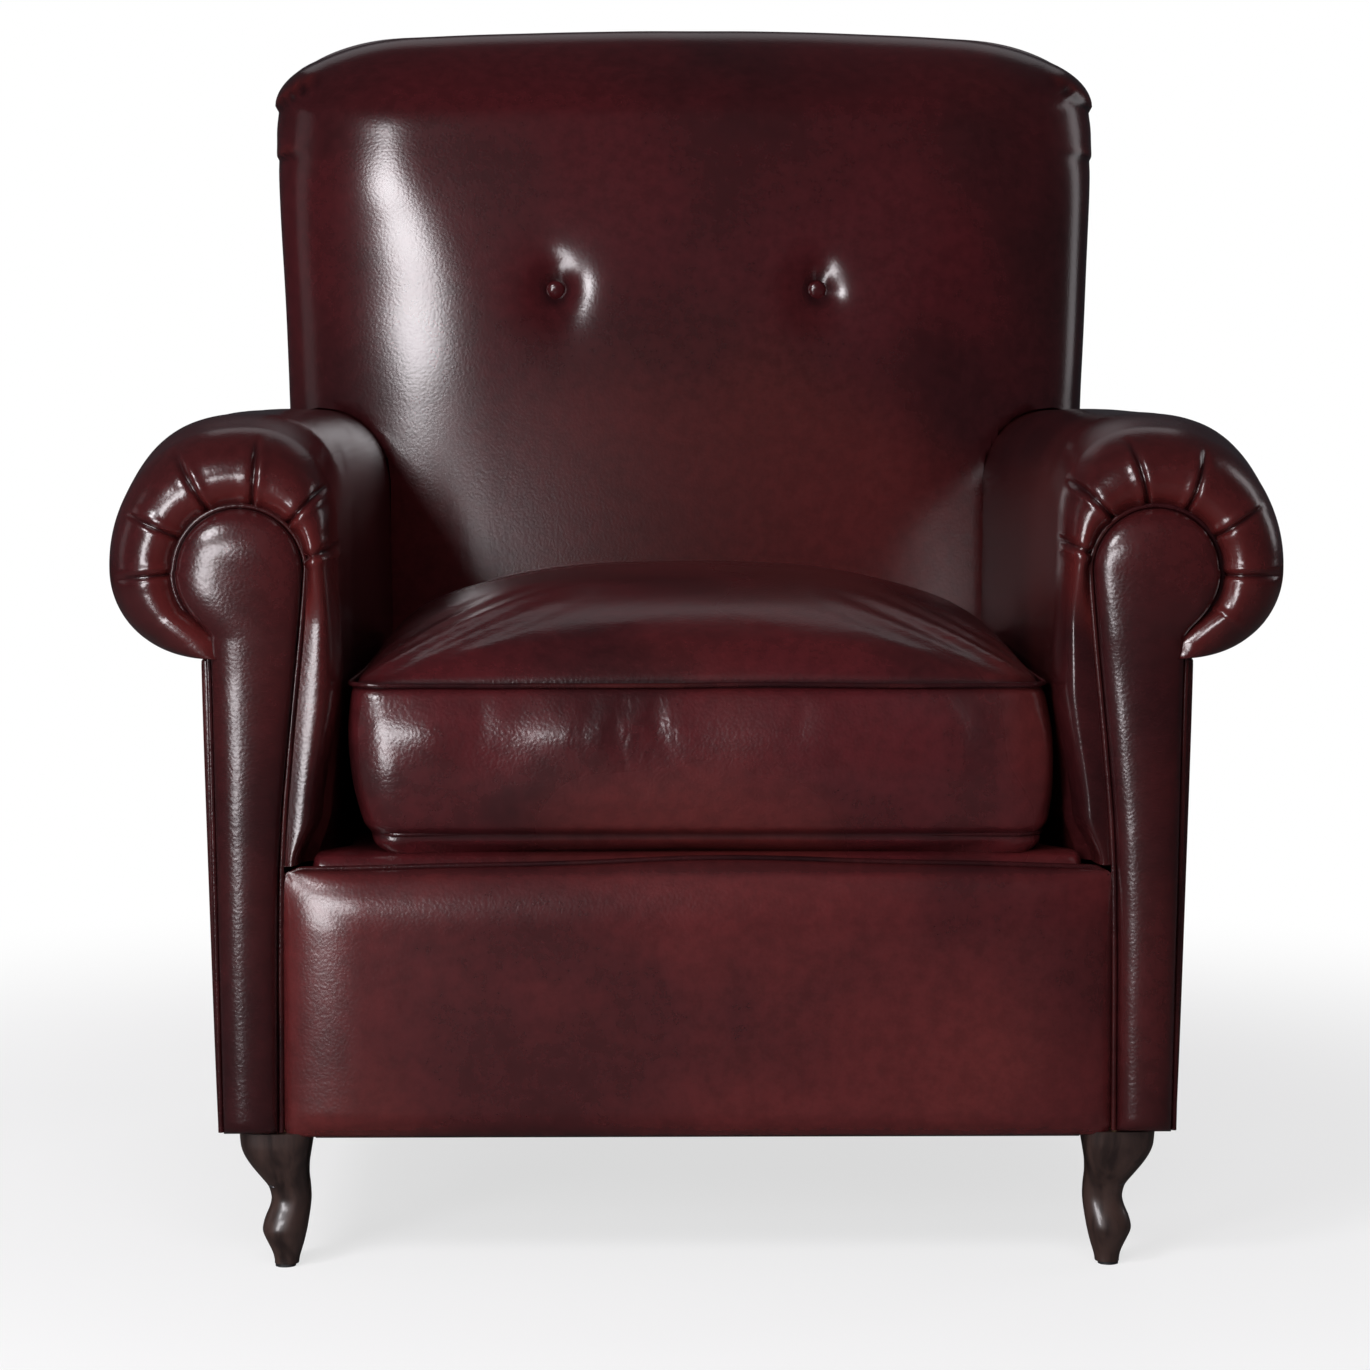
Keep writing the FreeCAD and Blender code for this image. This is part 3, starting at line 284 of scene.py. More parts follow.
def zones(share: Array, low: float, high: float) -> tuple[Array, Array]:
    """Split shares from -1 to 1 into a straight stretch and a bend at each end.

    Args:
        share: The shares to split.
        low: Part of the range that the lower bend takes.
        high: Part of the range that the upper bend takes.

    Returns:
        The share of the straight stretch from 0 to 1, and the bend from -1 to 1.
    """
    straight = np.clip((share + 1 - low) / (2 - low - high), 0, 1)
    bend = np.minimum(share + 1 - low, 0) / low + np.maximum(share - 1 + high, 0) / high
    return straight, np.tan(bend * math.pi / 4)


def bent(straight: Array, normal: Array, low: Array, high: Array, radii: tuple[Array, Array]
         ) -> Array:
    """Place points between two bounds, with a round of its own radius at each end."""
    near, far = radii
    core = low + near + straight * (high - far - low - near)
    return core + normal * np.where(normal < 0, near, far)


def crowd(share: Array, middles: Sequence[float], width: float, gain: float) -> Array:
    """Draw evenly spread shares from -1 to 1 together round some middles."""
    line = np.linspace(-1, 1, 2001)
    density = 1 + sum(gain * hump(line, middle, width) for middle in middles)
    total = np.concatenate([[0], np.cumsum((density[1:] + density[:-1]) / 2)])
    return np.interp((share + 1) / 2, total / total[-1], line)


def unit(*parts: Array) -> list[Array]:
    """Scale vectors, given by their parts, to a length of one."""
    length = np.maximum(np.sqrt(sum(part ** 2 for part in parts)), 1e-9)
    return [part / length for part in parts]


def rounded(share: Array, *bends: float) -> tuple[list[Array], list[Array]]:
    """Split a cube's points into the straight stretches and the round edges of a box.

    Args:
        share: The cube's points in shares from -1 to 1.
        bends: Part of the range that each bend takes, along X, Y and Z.

    Returns:
        The shares of the straight stretches, and the normals' parts.
    """
    parts = [zones(line, bend, bend) for line, bend in zip(share.T, bends)]
    return [straight for straight, _ in parts], unit(*(bend for _, bend in parts))


def ripple(points: Array, scale: float, seed: int) -> Array:
    """Slow, smooth unevenness from -1 to 1 that never repeats over the piece."""
    random = np.random.default_rng(seed)
    total = np.zeros(len(points))
    for octave in range(4):
        for _ in range(3):
            direction = random.normal(size=3)
            direction *= scale * 1.7 ** octave / np.linalg.norm(direction)
            total += np.sin(points @ direction + random.uniform(0, 2 * math.pi)) / 1.6 ** octave
    return total / 6


def cord_round(name: str, path: Array, radius: float, closed: bool) -> bpy.types.Object:
    """Make piping that follows a path.

    Args:
        name: The piece's name.
        path: The points of its middle line.
        radius: Its radius.
        closed: Whether the path returns to its start.

    Returns:
        The piping as a mesh.
    """
    deselect()
    bpy.ops.mesh.primitive_circle_add(vertices=len(path), radius=1)
    piece = bpy.context.object
    piece.name = name
    put_points(piece, path)
    if not closed:
        last = len(path) - 1
        chosen = [set(edge.vertices) == {0, last} for edge in piece.data.edges]
        with editing_only(piece, "EDGE", chosen):
            bpy.ops.mesh.delete(type="EDGE")
    pick(piece)
    bpy.ops.object.convert(target="CURVE")
    piece.data.bevel_depth = radius
    piece.data.bevel_resolution = 3
    piece.data.use_fill_caps = not closed
    bpy.ops.object.convert(target="MESH")
    tidy_mesh(piece)
    return piece


def spaced(path: Array, step: float, closed: bool) -> Array:
    """Spread points evenly along a path of straight runs."""
    if closed:
        path = np.vstack([path, path[:1]])
    length = np.concatenate([[0], np.cumsum(np.linalg.norm(np.diff(path, axis=0), axis=1))])
    count = max(8, round(length[-1] / step))
    where = np.linspace(0, length[-1], count + 1)
    if closed:
        where = where[:-1]
    return np.column_stack([np.interp(where, length, path[:, axis]) for axis in range(3)])


# Finishes


def linear(red: int, green: int, blue: int) -> Colour:
    """Turn a screen colour from 0 to 255 into the values that a shader takes."""
    def channel(value: float) -> float:
        share = value / 255
        return share / 12.92 if share <= 0.04045 else ((share + 0.055) / 1.055) ** 2.4

    return channel(red), channel(green), channel(blue)


class Nodes:
    """Short way to add and join shader nodes in a material or a group."""

    def __init__(self, tree: bpy.types.NodeTree) -> None:
        """Keep the tree that the nodes go into."""
        self.tree = tree

    def add(self, kind: str, values: dict | None = None, **options: object) -> bpy.types.Node:
        """Add a node.

        Args:
            kind: The node's type, without its ShaderNode prefix.
            values: What its input sockets take: a value, or another node's output.
            options: The node's own settings.

        Returns:
            The node.
        """
        node = self.tree.nodes.new(kind if kind.startswith("Node") else "ShaderNode" + kind)
        for name, option in options.items():
            setattr(node, name, option)
        self.feed(node, values or {})
        return node

    def feed(self, node: bpy.types.Node, values: dict) -> None:
        """Give a node's inputs their values, or join them to other nodes' outputs."""
        for name, value in values.items():
            socket = node.inputs[name]
            if isinstance(value, bpy.types.NodeSocket):
                self.tree.links.new(value, socket)
            elif isinstance(value, tuple) and socket.type == "RGBA":
                socket.default_value = (*value, 1)
            else:
                socket.default_value = value

    def maths(self, operation: str, first: object, second: object = 0.0) -> bpy.types.NodeSocket:
        """Add a maths node and give its result."""
        return self.add("Math", {0: first, 1: second}, operation=operation).outputs[0]

    def ramp(self, value: object, start: float, end: float, low: float = 0, high: float = 1
             ) -> bpy.types.NodeSocket:
        """Map a range of values smoothly to another one."""
        values = {"Value": value, "From Min": start, "From Max": end, "To Min": low, "To Max": high}
        return self.add("MapRange", values, interpolation_type="SMOOTHSTEP").outputs["Result"]

    def blend(self, share: object, first: object, second: object, how: str = "MIX"
              ) -> bpy.types.NodeSocket:
        """Mix two colours by a share."""
        node = self.add("Mix", {0: share}, data_type="RGBA", blend_type=how)
        first_slot, second_slot = (index for index, socket in enumerate(node.inputs)
                                   if socket.type == "RGBA")
        self.feed(node, {first_slot: first, second_slot: second})
        return next(socket for socket in node.outputs if socket.type == "RGBA")

    def noise(self, where: object, scale: float, detail: float = 3, **more: float
              ) -> bpy.types.NodeSocket:
        """Add a noise texture and give its value."""
        values = {"Vector": where, "Scale": scale, "Detail": detail}
        values.update({name.capitalize(): value for name, value in more.items()})
        return self.add("TexNoise", values).outputs[0]

    def painted(self, name: str) -> bpy.types.NodeSocket:
        """Read a value that is painted on the mesh."""
        node = self.add("Attribute", attribute_name=name, attribute_type="GEOMETRY")
        return node.outputs["Fac"]

    def bump(self, height: object, strength: float, distance: float) -> bpy.types.NodeSocket:
        """Turn a height into a bumped normal."""
        values = {"Height": height, "Strength": strength, "Distance": distance}
        return self.add("Bump", values).outputs["Normal"]


def new_group(name: str, inputs: Sequence[tuple[str, str, object]],
              outputs: Sequence[tuple[str, str]]) -> tuple[Nodes, bpy.types.Node, bpy.types.Node]:
    """Start a shader node group.

    Args:
        name: The group's name.
        inputs: Name, socket type and default of each input.
        outputs: Name and socket type of each output.

    Returns:
        The group's nodes, its input node and its output node.
    """
    tree = bpy.data.node_groups.new(name, "ShaderNodeTree")
    for label, kind, default in inputs:
        socket = tree.interface.new_socket(label, in_out="INPUT", socket_type=kind)
        socket.default_value = (*default, 1) if isinstance(default, tuple) else default
    for label, kind in outputs:
        tree.interface.new_socket(label, in_out="OUTPUT", socket_type=kind)
    nodes = Nodes(tree)
    return nodes, nodes.add("NodeGroupInput"), nodes.add("NodeGroupOutput")


def new_material(name: str) -> tuple[bpy.types.Material, Nodes, bpy.types.Node]:
    """Start a material and give its nodes and its Principled shader."""
    material = bpy.data.materials.new(name)
    material.use_nodes = True
    shader = material.node_tree.nodes["Principled BSDF"]
    return material, Nodes(material.node_tree), shader


def build_patina() -> bpy.types.NodeTree:
    """Build the leather's hand-rubbed colouring: clouds of three tones, the flare tone where it is
    rubbed or a painted highlight runs, and painted shade in seams and creases.
    """
    tone = "NodeSocketColor"
    number = "NodeSocketFloat"
    nodes, start, end = new_group(
        "leather_patina",
        [("Deep", tone, (0.02, 0.004, 0.005)), ("Body", tone, (0.05, 0.008, 0.01)),
         ("Flare", tone, (0.1, 0.02, 0.015)), ("Cloud Scale", number, 5.0),
         ("Flare Amount", number, 0.6), ("Gloss Low", number, 0.26), ("Gloss High", number, 0.42)],
        [("Colour", tone), ("Roughness", number)])
    where = nodes.add("TexCoord").outputs["Object"]
    scale = start.outputs["Cloud Scale"]
    cloud = nodes.noise(where, scale, 4.0, roughness=0.5, distortion=0.3)
    shift = {"Vector": where, "Location": Vector((3.1, 1.7, 5.3))}
    shifted = nodes.add("Mapping", shift).outputs[0]
    wide = nodes.noise(shifted, nodes.maths("MULTIPLY", scale, 0.55), 2.5, roughness=0.45,
                       distortion=0.2)
    fleck = nodes.noise(where, 90.0, 4.0, roughness=0.7)
    share = nodes.ramp(cloud, 0.34, 0.60)
    colour = nodes.blend(share, start.outputs["Deep"], start.outputs["Body"])
    share = nodes.maths("MULTIPLY", nodes.ramp(wide, 0.46, 0.70), start.outputs["Flare Amount"])
    colour = nodes.blend(share, colour, start.outputs["Flare"])
    spread = nodes.ramp(fleck, 0.3, 0.7, 0.84, 1.14)
    grey = nodes.add("CombineColor", {"Red": spread, "Green": spread, "Blue": spread}).outputs[0]
    colour = nodes.blend(1.0, colour, grey, "MULTIPLY")
    # Flare tone where the leather is rubbed, and as a painted highlight along the back's fold lips
    colour = nodes.blend(nodes.painted("wear_and_highlight"), colour, start.outputs["Flare"])
    # Painted shade: creases, seams, button rings and recesses darken towards near black
    darkening = nodes.maths("MULTIPLY", nodes.painted("crease_shade"), 0.82)
    colour = nodes.blend(darkening, colour, (0.006, 0.0015, 0.002))
    gloss = nodes.add("MapRange", {"Value": wide, "From Min": 0.3, "From Max": 0.7,
                                   "To Min": start.outputs["Gloss Low"],
                                   "To Max": start.outputs["Gloss High"]}).outputs["Result"]
    nodes.feed(end, {"Colour": colour, "Roughness": gloss})
    return nodes.tree


def build_grain() -> bpy.types.NodeTree:
    """Build the leather's relief: small pebbles, hair pores and slow wrinkles."""
    number = "NodeSocketFloat"
    nodes, start, end = new_group(
        "leather_grain", [("Pebble Scale", number, 430.0), ("Wrinkle", number, 0.5)],
        [("Height", number)])
    where = nodes.add("TexCoord").outputs["Object"]
    warp = nodes.add("TexNoise", {"Vector": where, "Scale": 120.0, "Detail": 2.0}).outputs[1]
    bent_where = nodes.add("VectorMath", {0: warp, 1: Vector((0.004, 0.004, 0.004))},
                           operation="MULTIPLY").outputs[0]
    moved = nodes.add("VectorMath", {0: where, 1: bent_where}, operation="ADD").outputs[0]
    pebble = nodes.add("TexVoronoi", {"Vector": moved, "Scale": start.outputs["Pebble Scale"]},
                       feature="SMOOTH_F1").outputs["Distance"]
    fine = nodes.noise(where, 900.0, 2.0)
    wrinkle = nodes.noise(moved, 45.0, 3.0, roughness=0.5)
    relief = nodes.maths("MULTIPLY", nodes.ramp(pebble, 0.0, 0.9, 1.0, 0.0), 0.55)
    relief = nodes.maths("ADD", relief, nodes.maths("MULTIPLY", fine, 0.15))
    slow = nodes.maths("MULTIPLY", wrinkle, start.outputs["Wrinkle"])
    relief = nodes.maths("ADD", relief, slow)
    drawn = nodes.add("Mapping", {"Vector": where, "Scale": Vector((1.0, 1.0, 0.4))}).outputs[0]
    folds = nodes.noise(drawn, 46.0, 2.0, roughness=0.5, distortion=0.9)
    ridge = nodes.maths("ABSOLUTE", nodes.maths("SUBTRACT", folds, 0.5))
    ridge = nodes.ramp(ridge, 0.0, 0.16, -1.5, 0.0)
    relief = nodes.maths("ADD", relief, nodes.maths("MULTIPLY", ridge, nodes.painted("slack")))
    nodes.feed(end, {"Height": relief})
    return nodes.tree


def build_weave() -> bpy.types.NodeTree:
    """Build a plain weave of two crossing sets of threads."""
    number = "NodeSocketFloat"
    nodes, start, end = new_group(
        "plain_weave", [("Threads", number, 900.0)], [("Height", number), ("Mask", number)])
    where = nodes.add("TexCoord").outputs["Object"]
    parts = nodes.add("SeparateXYZ", {"Vector": where})
    waves = []
    for axis, slant in (("X", 0.31), ("Y", 0.95)):
        line = nodes.maths("MULTIPLY", parts.outputs["Z"], slant)
        line = nodes.maths("ADD", parts.outputs[axis], line)
        line = nodes.maths("MULTIPLY", line, start.outputs["Threads"])
        waves.append(nodes.maths("SINE", line))
    crossing = nodes.maths("MULTIPLY", *waves)
    height = nodes.ramp(crossing, -1.0, 1.0)
    uneven = nodes.noise(where, 60.0, 3.0)
    nodes.feed(end, {"Height": height, "Mask": nodes.maths("MULTIPLY", height, uneven)})
    return nodes.tree


PATINA = build_patina()
GRAIN = build_grain()
WEAVE = build_weave()


@dataclass(frozen=True)
class LeatherFinish:
    """Antiqued leather in three tones under a wax gloss."""

    name: str
    deep: Colour
    body: Colour
    flare: Colour
    cloud_scale: float
    wrinkle: float
    bump: float
    coat: float
    coat_roughness: float
    gloss: tuple[float, float]
    flare_amount: float = 0.6
    shine: float = 0.45

    def material(self) -> bpy.types.Material:
        """Build the leather's material."""
        material, nodes, shader = new_material(self.name)
        patina = nodes.add("Group", node_tree=PATINA)
        nodes.feed(patina, {
            "Deep": self.deep, "Body": self.body, "Flare": self.flare,
            "Cloud Scale": self.cloud_scale, "Flare Amount": self.flare_amount,
            "Gloss Low": self.gloss[0], "Gloss High": self.gloss[1]})
        grain = nodes.add("Group", node_tree=GRAIN)
        nodes.feed(grain, {"Wrinkle": self.wrinkle})
        nodes.feed(shader, {
            "Base Color": patina.outputs["Colour"], "Roughness": patina.outputs["Roughness"],
            "Normal": nodes.bump(grain.outputs["Height"], self.bump, 0.0012),
            "Coat Weight": self.coat, "Coat Roughness": self.coat_roughness,
            "Specular IOR Level": self.shine})
        return material


@dataclass(frozen=True)
class WoodFinish:
    """Stained or plain wood with a long grain up its length."""

    name: str
    dark: Colour
    light: Colour
    roughness: float
    coat: float = 0.0
    stretch: tuple[float, float, float] = (1.0, 1.0, 0.08)

    def material(self) -> bpy.types.Material:
        """Build the wood's material."""
        material, nodes, shader = new_material(self.name)
        where = nodes.add("TexCoord").outputs["Object"]
        drawn = nodes.add("Mapping", {"Vector": where, "Scale": Vector(self.stretch)}).outputs[0]
        rings = nodes.noise(drawn, 55.0, 5.0, roughness=0.6, distortion=0.8)
        pores = nodes.noise(drawn, 420.0, 2.0)
        colour = nodes.blend(nodes.ramp(rings, 0.35, 0.65), self.dark, self.light)
        colour = nodes.blend(nodes.ramp(pores, 0.55, 0.75, 0.0, 0.5), colour, self.dark)
        rough = nodes.ramp(rings, 0.2, 0.8, self.roughness - 0.05, self.roughness + 0.07)
        nodes.feed(shader, {
            "Base Color": colour, "Roughness": rough, "Normal": nodes.bump(pores, 0.08, 0.0005),
            "Coat Weight": self.coat, "Coat Roughness": 0.12})
        return material


@dataclass(frozen=True)
class WovenFinish:
    """Cloth, webbing, twine or tape, woven from two tones of thread."""

    name: str
    dark: Colour
    light: Colour
    threads: float
    bump: float = 0.4

    def material(self) -> bpy.types.Material:
        """Build the cloth's material."""
        material, nodes, shader = new_material(self.name)
        weave = nodes.add("Group", node_tree=WEAVE)
        nodes.feed(weave, {"Threads": self.threads})
        height, mask = weave.outputs["Height"], weave.outputs["Mask"]
        nodes.feed(shader, {
            "Base Color": nodes.blend(mask, self.dark, self.light),
            "Roughness": nodes.ramp(mask, 0.0, 1.0, 0.95, 0.82),
            "Normal": nodes.bump(height, self.bump, 0.0006), "Sheen Weight": 0.25})
        return material


@dataclass(frozen=True)
class PlainFinish:
    """Metal, plastic or foam with a fine uneven surface."""

    name: str
    dark: Colour
    light: Colour
    roughness: float
    metal: float = 0.0

    def material(self) -> bpy.types.Material:
        """Build the material."""
        material, nodes, shader = new_material(self.name)
        where = nodes.add("TexCoord").outputs["Object"]
        cloud = nodes.noise(where, 180.0, 4.0, roughness=0.6)
        colour = nodes.blend(nodes.ramp(cloud, 0.35, 0.65), self.dark, self.light)
        rough = nodes.ramp(cloud, 0.3, 0.7, self.roughness * 0.8, self.roughness * 1.15)
        nodes.feed(shader, {
            "Base Color": colour, "Roughness": rough, "Normal": nodes.bump(cloud, 0.12, 0.0004),
            "Metallic": self.metal})
        return material


class Finish(Enum):
    """The chair's finishes, one for each kind of surface."""

    BACK = LeatherFinish(
        "leather_back", linear(39, 13, 15), linear(56, 16, 19), linear(78, 25, 23), cloud_scale=4.2,
        flare_amount=0.5, wrinkle=0.2, bump=0.06, coat=0.1, coat_roughness=0.17, gloss=(0.19, 0.23))
    ARM = LeatherFinish(
        "leather_arms", linear(26, 9, 11), linear(42, 13, 15), linear(70, 21, 20), cloud_scale=6.0,
        flare_amount=0.5, wrinkle=0.25, bump=0.12, coat=0.25, coat_roughness=0.15,
        gloss=(0.19, 0.25))
    FACING = LeatherFinish(
        "leather_facings", linear(30, 10, 12), linear(45, 14, 16), linear(70, 21, 21),
        cloud_scale=6.0, flare_amount=0.4, wrinkle=0.25, bump=0.14, coat=0.15, coat_roughness=0.16,
        gloss=(0.21, 0.26))
    SEAT = LeatherFinish(
        "leather_seat", linear(41, 13, 15), linear(60, 17, 20), linear(78, 27, 25), cloud_scale=7.5,
        wrinkle=0.9, bump=0.17, coat=0.2, coat_roughness=0.2, gloss=(0.23, 0.30))
    BORDER = LeatherFinish(
        "leather_border", linear(50, 16, 18), linear(68, 22, 23), linear(84, 31, 28),
        cloud_scale=4.6, wrinkle=0.5, bump=0.11, coat=0.2, coat_roughness=0.2, gloss=(0.22, 0.28))
    PIPING = LeatherFinish(
        "piping_leather", linear(26, 8, 10), linear(40, 12, 14), linear(58, 18, 17),
        cloud_scale=14.0, wrinkle=0.4, bump=0.16, coat=0.0, coat_roughness=0.22, gloss=(0.18, 0.24),
        shine=0.35)
    LEG = WoodFinish("leg_stain", linear(30, 20, 18), linear(54, 38, 33), 0.36, coat=0.3)
    FRAME = WoodFinish("frame_beech", linear(150, 108, 70), linear(196, 156, 112), 0.62,
                       stretch=(0.08, 1.0, 1.0))
    WEBBING = WovenFinish("jute_webbing", linear(96, 76, 48), linear(178, 150, 108), 1500.0)
    HESSIAN = WovenFinish("jute_hessian", linear(92, 70, 42), linear(168, 138, 92), 2400.0)
    TWINE = WovenFinish("waxed_twine", linear(150, 132, 100), linear(214, 198, 164), 3000.0)
    DUST_CLOTH = WovenFinish("black_dust_cloth", linear(14, 14, 15), linear(40, 40, 43), 2600.0,
                             bump=0.25)
    ZIP_TAPE = WovenFinish("woven_zip_tape", linear(34, 12, 14), linear(66, 24, 28), 4200.0)
    PADDING = PlainFinish("fibre_padding", linear(196, 186, 160), linear(232, 224, 202), 0.9)
    STEEL = PlainFinish("bolt_steel", linear(118, 118, 122), linear(160, 160, 164), 0.35, 1.0)
    SPRING = PlainFinish("coil_steel", linear(92, 88, 84), linear(140, 134, 126), 0.4, 1.0)
    BRASS = PlainFinish("brushed_brass", linear(150, 112, 52), linear(206, 164, 88), 0.32, 1.0)
    GLIDE = PlainFinish("black_glide", linear(22, 22, 23), linear(38, 38, 40), 0.5)

    @property
    def shade(self) -> bpy.types.Material:
        """The finish's material, built when it is first asked for."""
        found = bpy.data.materials.get(self.value.name)
        return found or self.value.material()


def dress(piece: bpy.types.Object, finish: Finish, body: Body, replaced: Sequence[str]) -> None:
    """Give a finished piece its material and its body, and hide the frame's nodes that it stands
    for.

    Args:
        piece: The finished piece.
        finish: Its finish.
        body: The body that it rides on.
        replaced: The frame's nodes that it stands for.
    """
    piece.data.materials.clear()
    piece.data.materials.append(finish.shade)
    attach(piece, body.value)
    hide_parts(*replaced)
    LOG.info("%s: %d faces", piece.name, len(piece.data.polygons))


# Sub-assemblies

ROLL_HEIGHT = 0.510
ROLL = 0.099
ROLL_CENTRE = 0.327
SHOULDER = 0.067
FULL_ROLL = 0.1115
ARM_DEPTH = 0.3
# Each pleat's angle where it leaves the piping and where it ends, in degrees, and its weight
PLEATS = {
    Side.LEFT: ((-43, -36, 0.7), (-2, -4, 0.8), (29, 27, 0.9), (63, 61, 1.2), (101, 98, 1.1),
                (135, 135, 1.1), (168, 165, 1.2)),
    Side.RIGHT: ((-37, -36, 0.8), (-3, -2, 0.9), (30, 31, 0.9), (63, 67, 1.0), (97, 101, 1.1),
                 (129, 133, 1.2), (164, 161, 0.9)),
}


def fuller(z: Array, y: Array) -> Array:
    """Raise the arm's section behind its nose, where the padding is fullest."""
    share = np.clip((z - ROLL_HEIGHT) / ROLL, 0, 1)
    full = ROLL_HEIGHT + FULL_ROLL * (1 - (1 - share) ** 1.25)
    amount = smooth_step(y, -0.425, -0.33) * (1 - 0.35 * smooth_step(y, -0.1, 0.25))
    return z + amount * np.where(share > 0, full - z, 0)


def panel_front(z: Array) -> Array:
    """Depth of the outside back's front face at a height."""
    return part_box("outside_back_panel")[0].y + BACK_RAKE * (z - LEG_TOP)


@dataclass
class ScrollArm:
    """A scrolled arm: padded form with a pleated front, facing, piping and outside panel.

    Its section runs from the inner foot over the shoulder and the roll, whose outer end is the
    tuck, and back to the frame's side. Its front is the nose, and the facing's head and neck
    stand before it.
    """

    side: Side
    inner: float = 0.260
    centre: float = ROLL_CENTRE
    height: float = 0.609
    roll: float = 0.0968
    tuck: float = 0.062
    nose: float = 0.034
    swell: float = 0.0125
    end: float = 0.014
    front: float = -0.4222
    base: float = 0.2985
    frame_side: float = 0.3398
    head: float = 0.047
    head_height: float = ROLL_HEIGHT
    panel: float = -0.4250
    bead: float = 0.001
    pipe: float = 0.0020
    foot: float = LEG_TOP
    rear_rake: float = 0.1405
    cap_centre: tuple[float, float] = (0.318, 0.490)
    crest: float = 0.36
    gather: float = 0.30

    @property
    def rear(self) -> float:
        """Depth at which the roll ends."""
        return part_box(f"{self.side.word}_arm_cover")[1].y - 0.001

    def behind_at(self, z: Array) -> Array:
        """Depth of the arm's rear at a height, just ahead of the raked outside back."""
        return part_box("outside_back_panel")[0].y + self.rear_rake * (z - self.foot) - CLEARANCE

    def outline(self, share: Array, inset: Array) -> tuple[Array, Array]:
        """Outline of the arm's section.

        Args:
            share: Shares round the outline, from 0 at the inner foot.
            inset: How far in from the full outline, at each point.

        Returns:
            Distance from the chair's middle, and height.
        """
        # Inner side, shoulder, roll, tuck, its underside, outer side, foot
        knots = (0.0, 0.20, 0.38, 0.62, 0.78, 0.82, 0.92, 1.0)
        part = stretches(share, knots)
        inner = self.inner + inset
        shoulder = self.centre - self.inner
        spring = self.height - shoulder
        under = self.head_height - self.tuck + inset
        tuck_x = self.centre + self.roll - self.tuck
        x = inner + 0 * share
        z = self.base + part[0] * (spring - self.base)
        turns = ((self.centre, spring, shoulder - inset, math.pi),
                 (self.centre, self.height - self.roll, self.roll - inset, math.pi / 2),
                 (tuck_x, self.head_height, self.tuck - inset, 0))
        for index, (middle_x, middle_z, radius, start) in enumerate(turns, start=1):
            angle = start - part[index] * math.pi / 2
            inside = share >= knots[index]
            x = np.where(inside, middle_x + radius * np.cos(angle), x)
            z = np.where(inside, middle_z + radius * np.sin(angle), z)
        inside = share >= knots[4]
        x = np.where(inside, tuck_x + part[4] * (self.frame_side - tuck_x), x)
        z = np.where(inside, under + part[5] * (self.base - under), z)
        x = np.where(share >= knots[6], self.frame_side + part[6] * (inner - self.frame_side), x)
        return x, z

    def waisted(self, x: Array, z: Array, along: Array) -> Array:
        """Draw the arm's inner side in near its foot at the front, and fill it out above.

        Args:
            x: The outline's distance from the chair's middle.
            z: Its height.
            along: Shares from the front to the rear, from 0 to 1.

        Returns:
            The new distance from the chair's middle.
        """
        taper = 0.012 * smooth_step(-z, -0.43, -0.33)
        taper = taper + 0.014 * smooth_step(-z, -0.335, -0.300)
        ahead = 1 - np.clip((along - 0.50) / 0.16, 0, 1)
        taper = taper * ahead * np.clip(1 - (x - self.inner) / 0.042, 0, 1)
        bulge = 0.003 * hump(z, 0.42, 0.09) * np.clip(1 - (x - self.inner) / 0.05, 0, 1)
        return x + np.where(x < self.centre, taper - bulge, 0)

    def piping_beside(self, x: Array, z: Array) -> tuple[Array, Array]:
        """Find the place on the facing's piping that each point of the outline belongs to."""
        off_x, off_z = x - self.centre, z - self.head_height
        length = np.maximum(np.hypot(off_x, off_z), 1e-6)
        ring_x = self.centre + off_x / length * (self.head - self.bead)
        ring_z = self.head_height + off_z / length * (self.head - self.bead)
        inner, _ = self.facing_edges(z, self.bead)
        beside = (x < self.centre) & (z < self.head_height)
        hidden = (x > self.centre) & (z < self.head_height - 0.050)
        low_x = np.where(beside, inner, np.where(hidden, np.minimum(x, 0.334), ring_x))
        return low_x, np.where(beside | hidden, z, ring_z)

    def build_form(self) -> None:
        """Make the padded, pleated form and its leather."""
        piece, around, along = grid(f"{self.side.word}_arm_leather", 460, 150)
        # Cap inside the piping, pleated front, length, round rear, cap behind
        part = stretches(along, (0.0, 0.10, 0.56, 0.90, 0.95, 1.0))
        tail = part[3] * math.pi / 2
        full_x, full_z = self.outline(around, self.end * (1 - np.cos(tail)))
        full_x = self.waisted(full_x, full_z, along)
        pipe_x, pipe_z = self.piping_beside(full_x, full_z)
        first = np.clip(part[1] / self.gather, 0, 1)
        second = np.clip((part[1] - self.gather) / (1 - self.gather), 0, 1) * math.pi / 2
        strip = (full_x < self.centre) * smooth_step(-full_z, -self.head_height - 0.01, -0.47)
        crest = self.crest + 0.20 * strip
        reach = crest * first + (1 - crest) * np.sin(second)
        x = pipe_x + (full_x - pipe_x) * reach
        z = pipe_z + (full_z - pipe_z) * reach
        most = self.swell * (1 - 0.62 * strip)
        rise = np.sin(first * math.pi / 2)
        rise = rise + strip * (1 - (1 - first) ** 1.55 - rise)
        y = self.front - most * rise + (self.nose + most) * (1 - np.cos(second))
        length = self.rear - self.end - self.front - self.nose
        y = y + length * (0.35 * part[2] + 0.65 * part[2] ** 2) + self.end * np.sin(tail)
        middle_x, middle_z = self.cap_centre
        shrink = (1 - (1 - part[0]) ** 2) * (1 - part[4])
        x = middle_x + (x - middle_x) * shrink
        z = middle_z + (z - middle_z) * shrink
        z = fuller(z, y)
        y = np.minimum(y, self.behind_at(z))
        put_points(piece, stack(x * self.side.value, y, z))
        tidy_mesh(piece)
        points = points_of(piece)
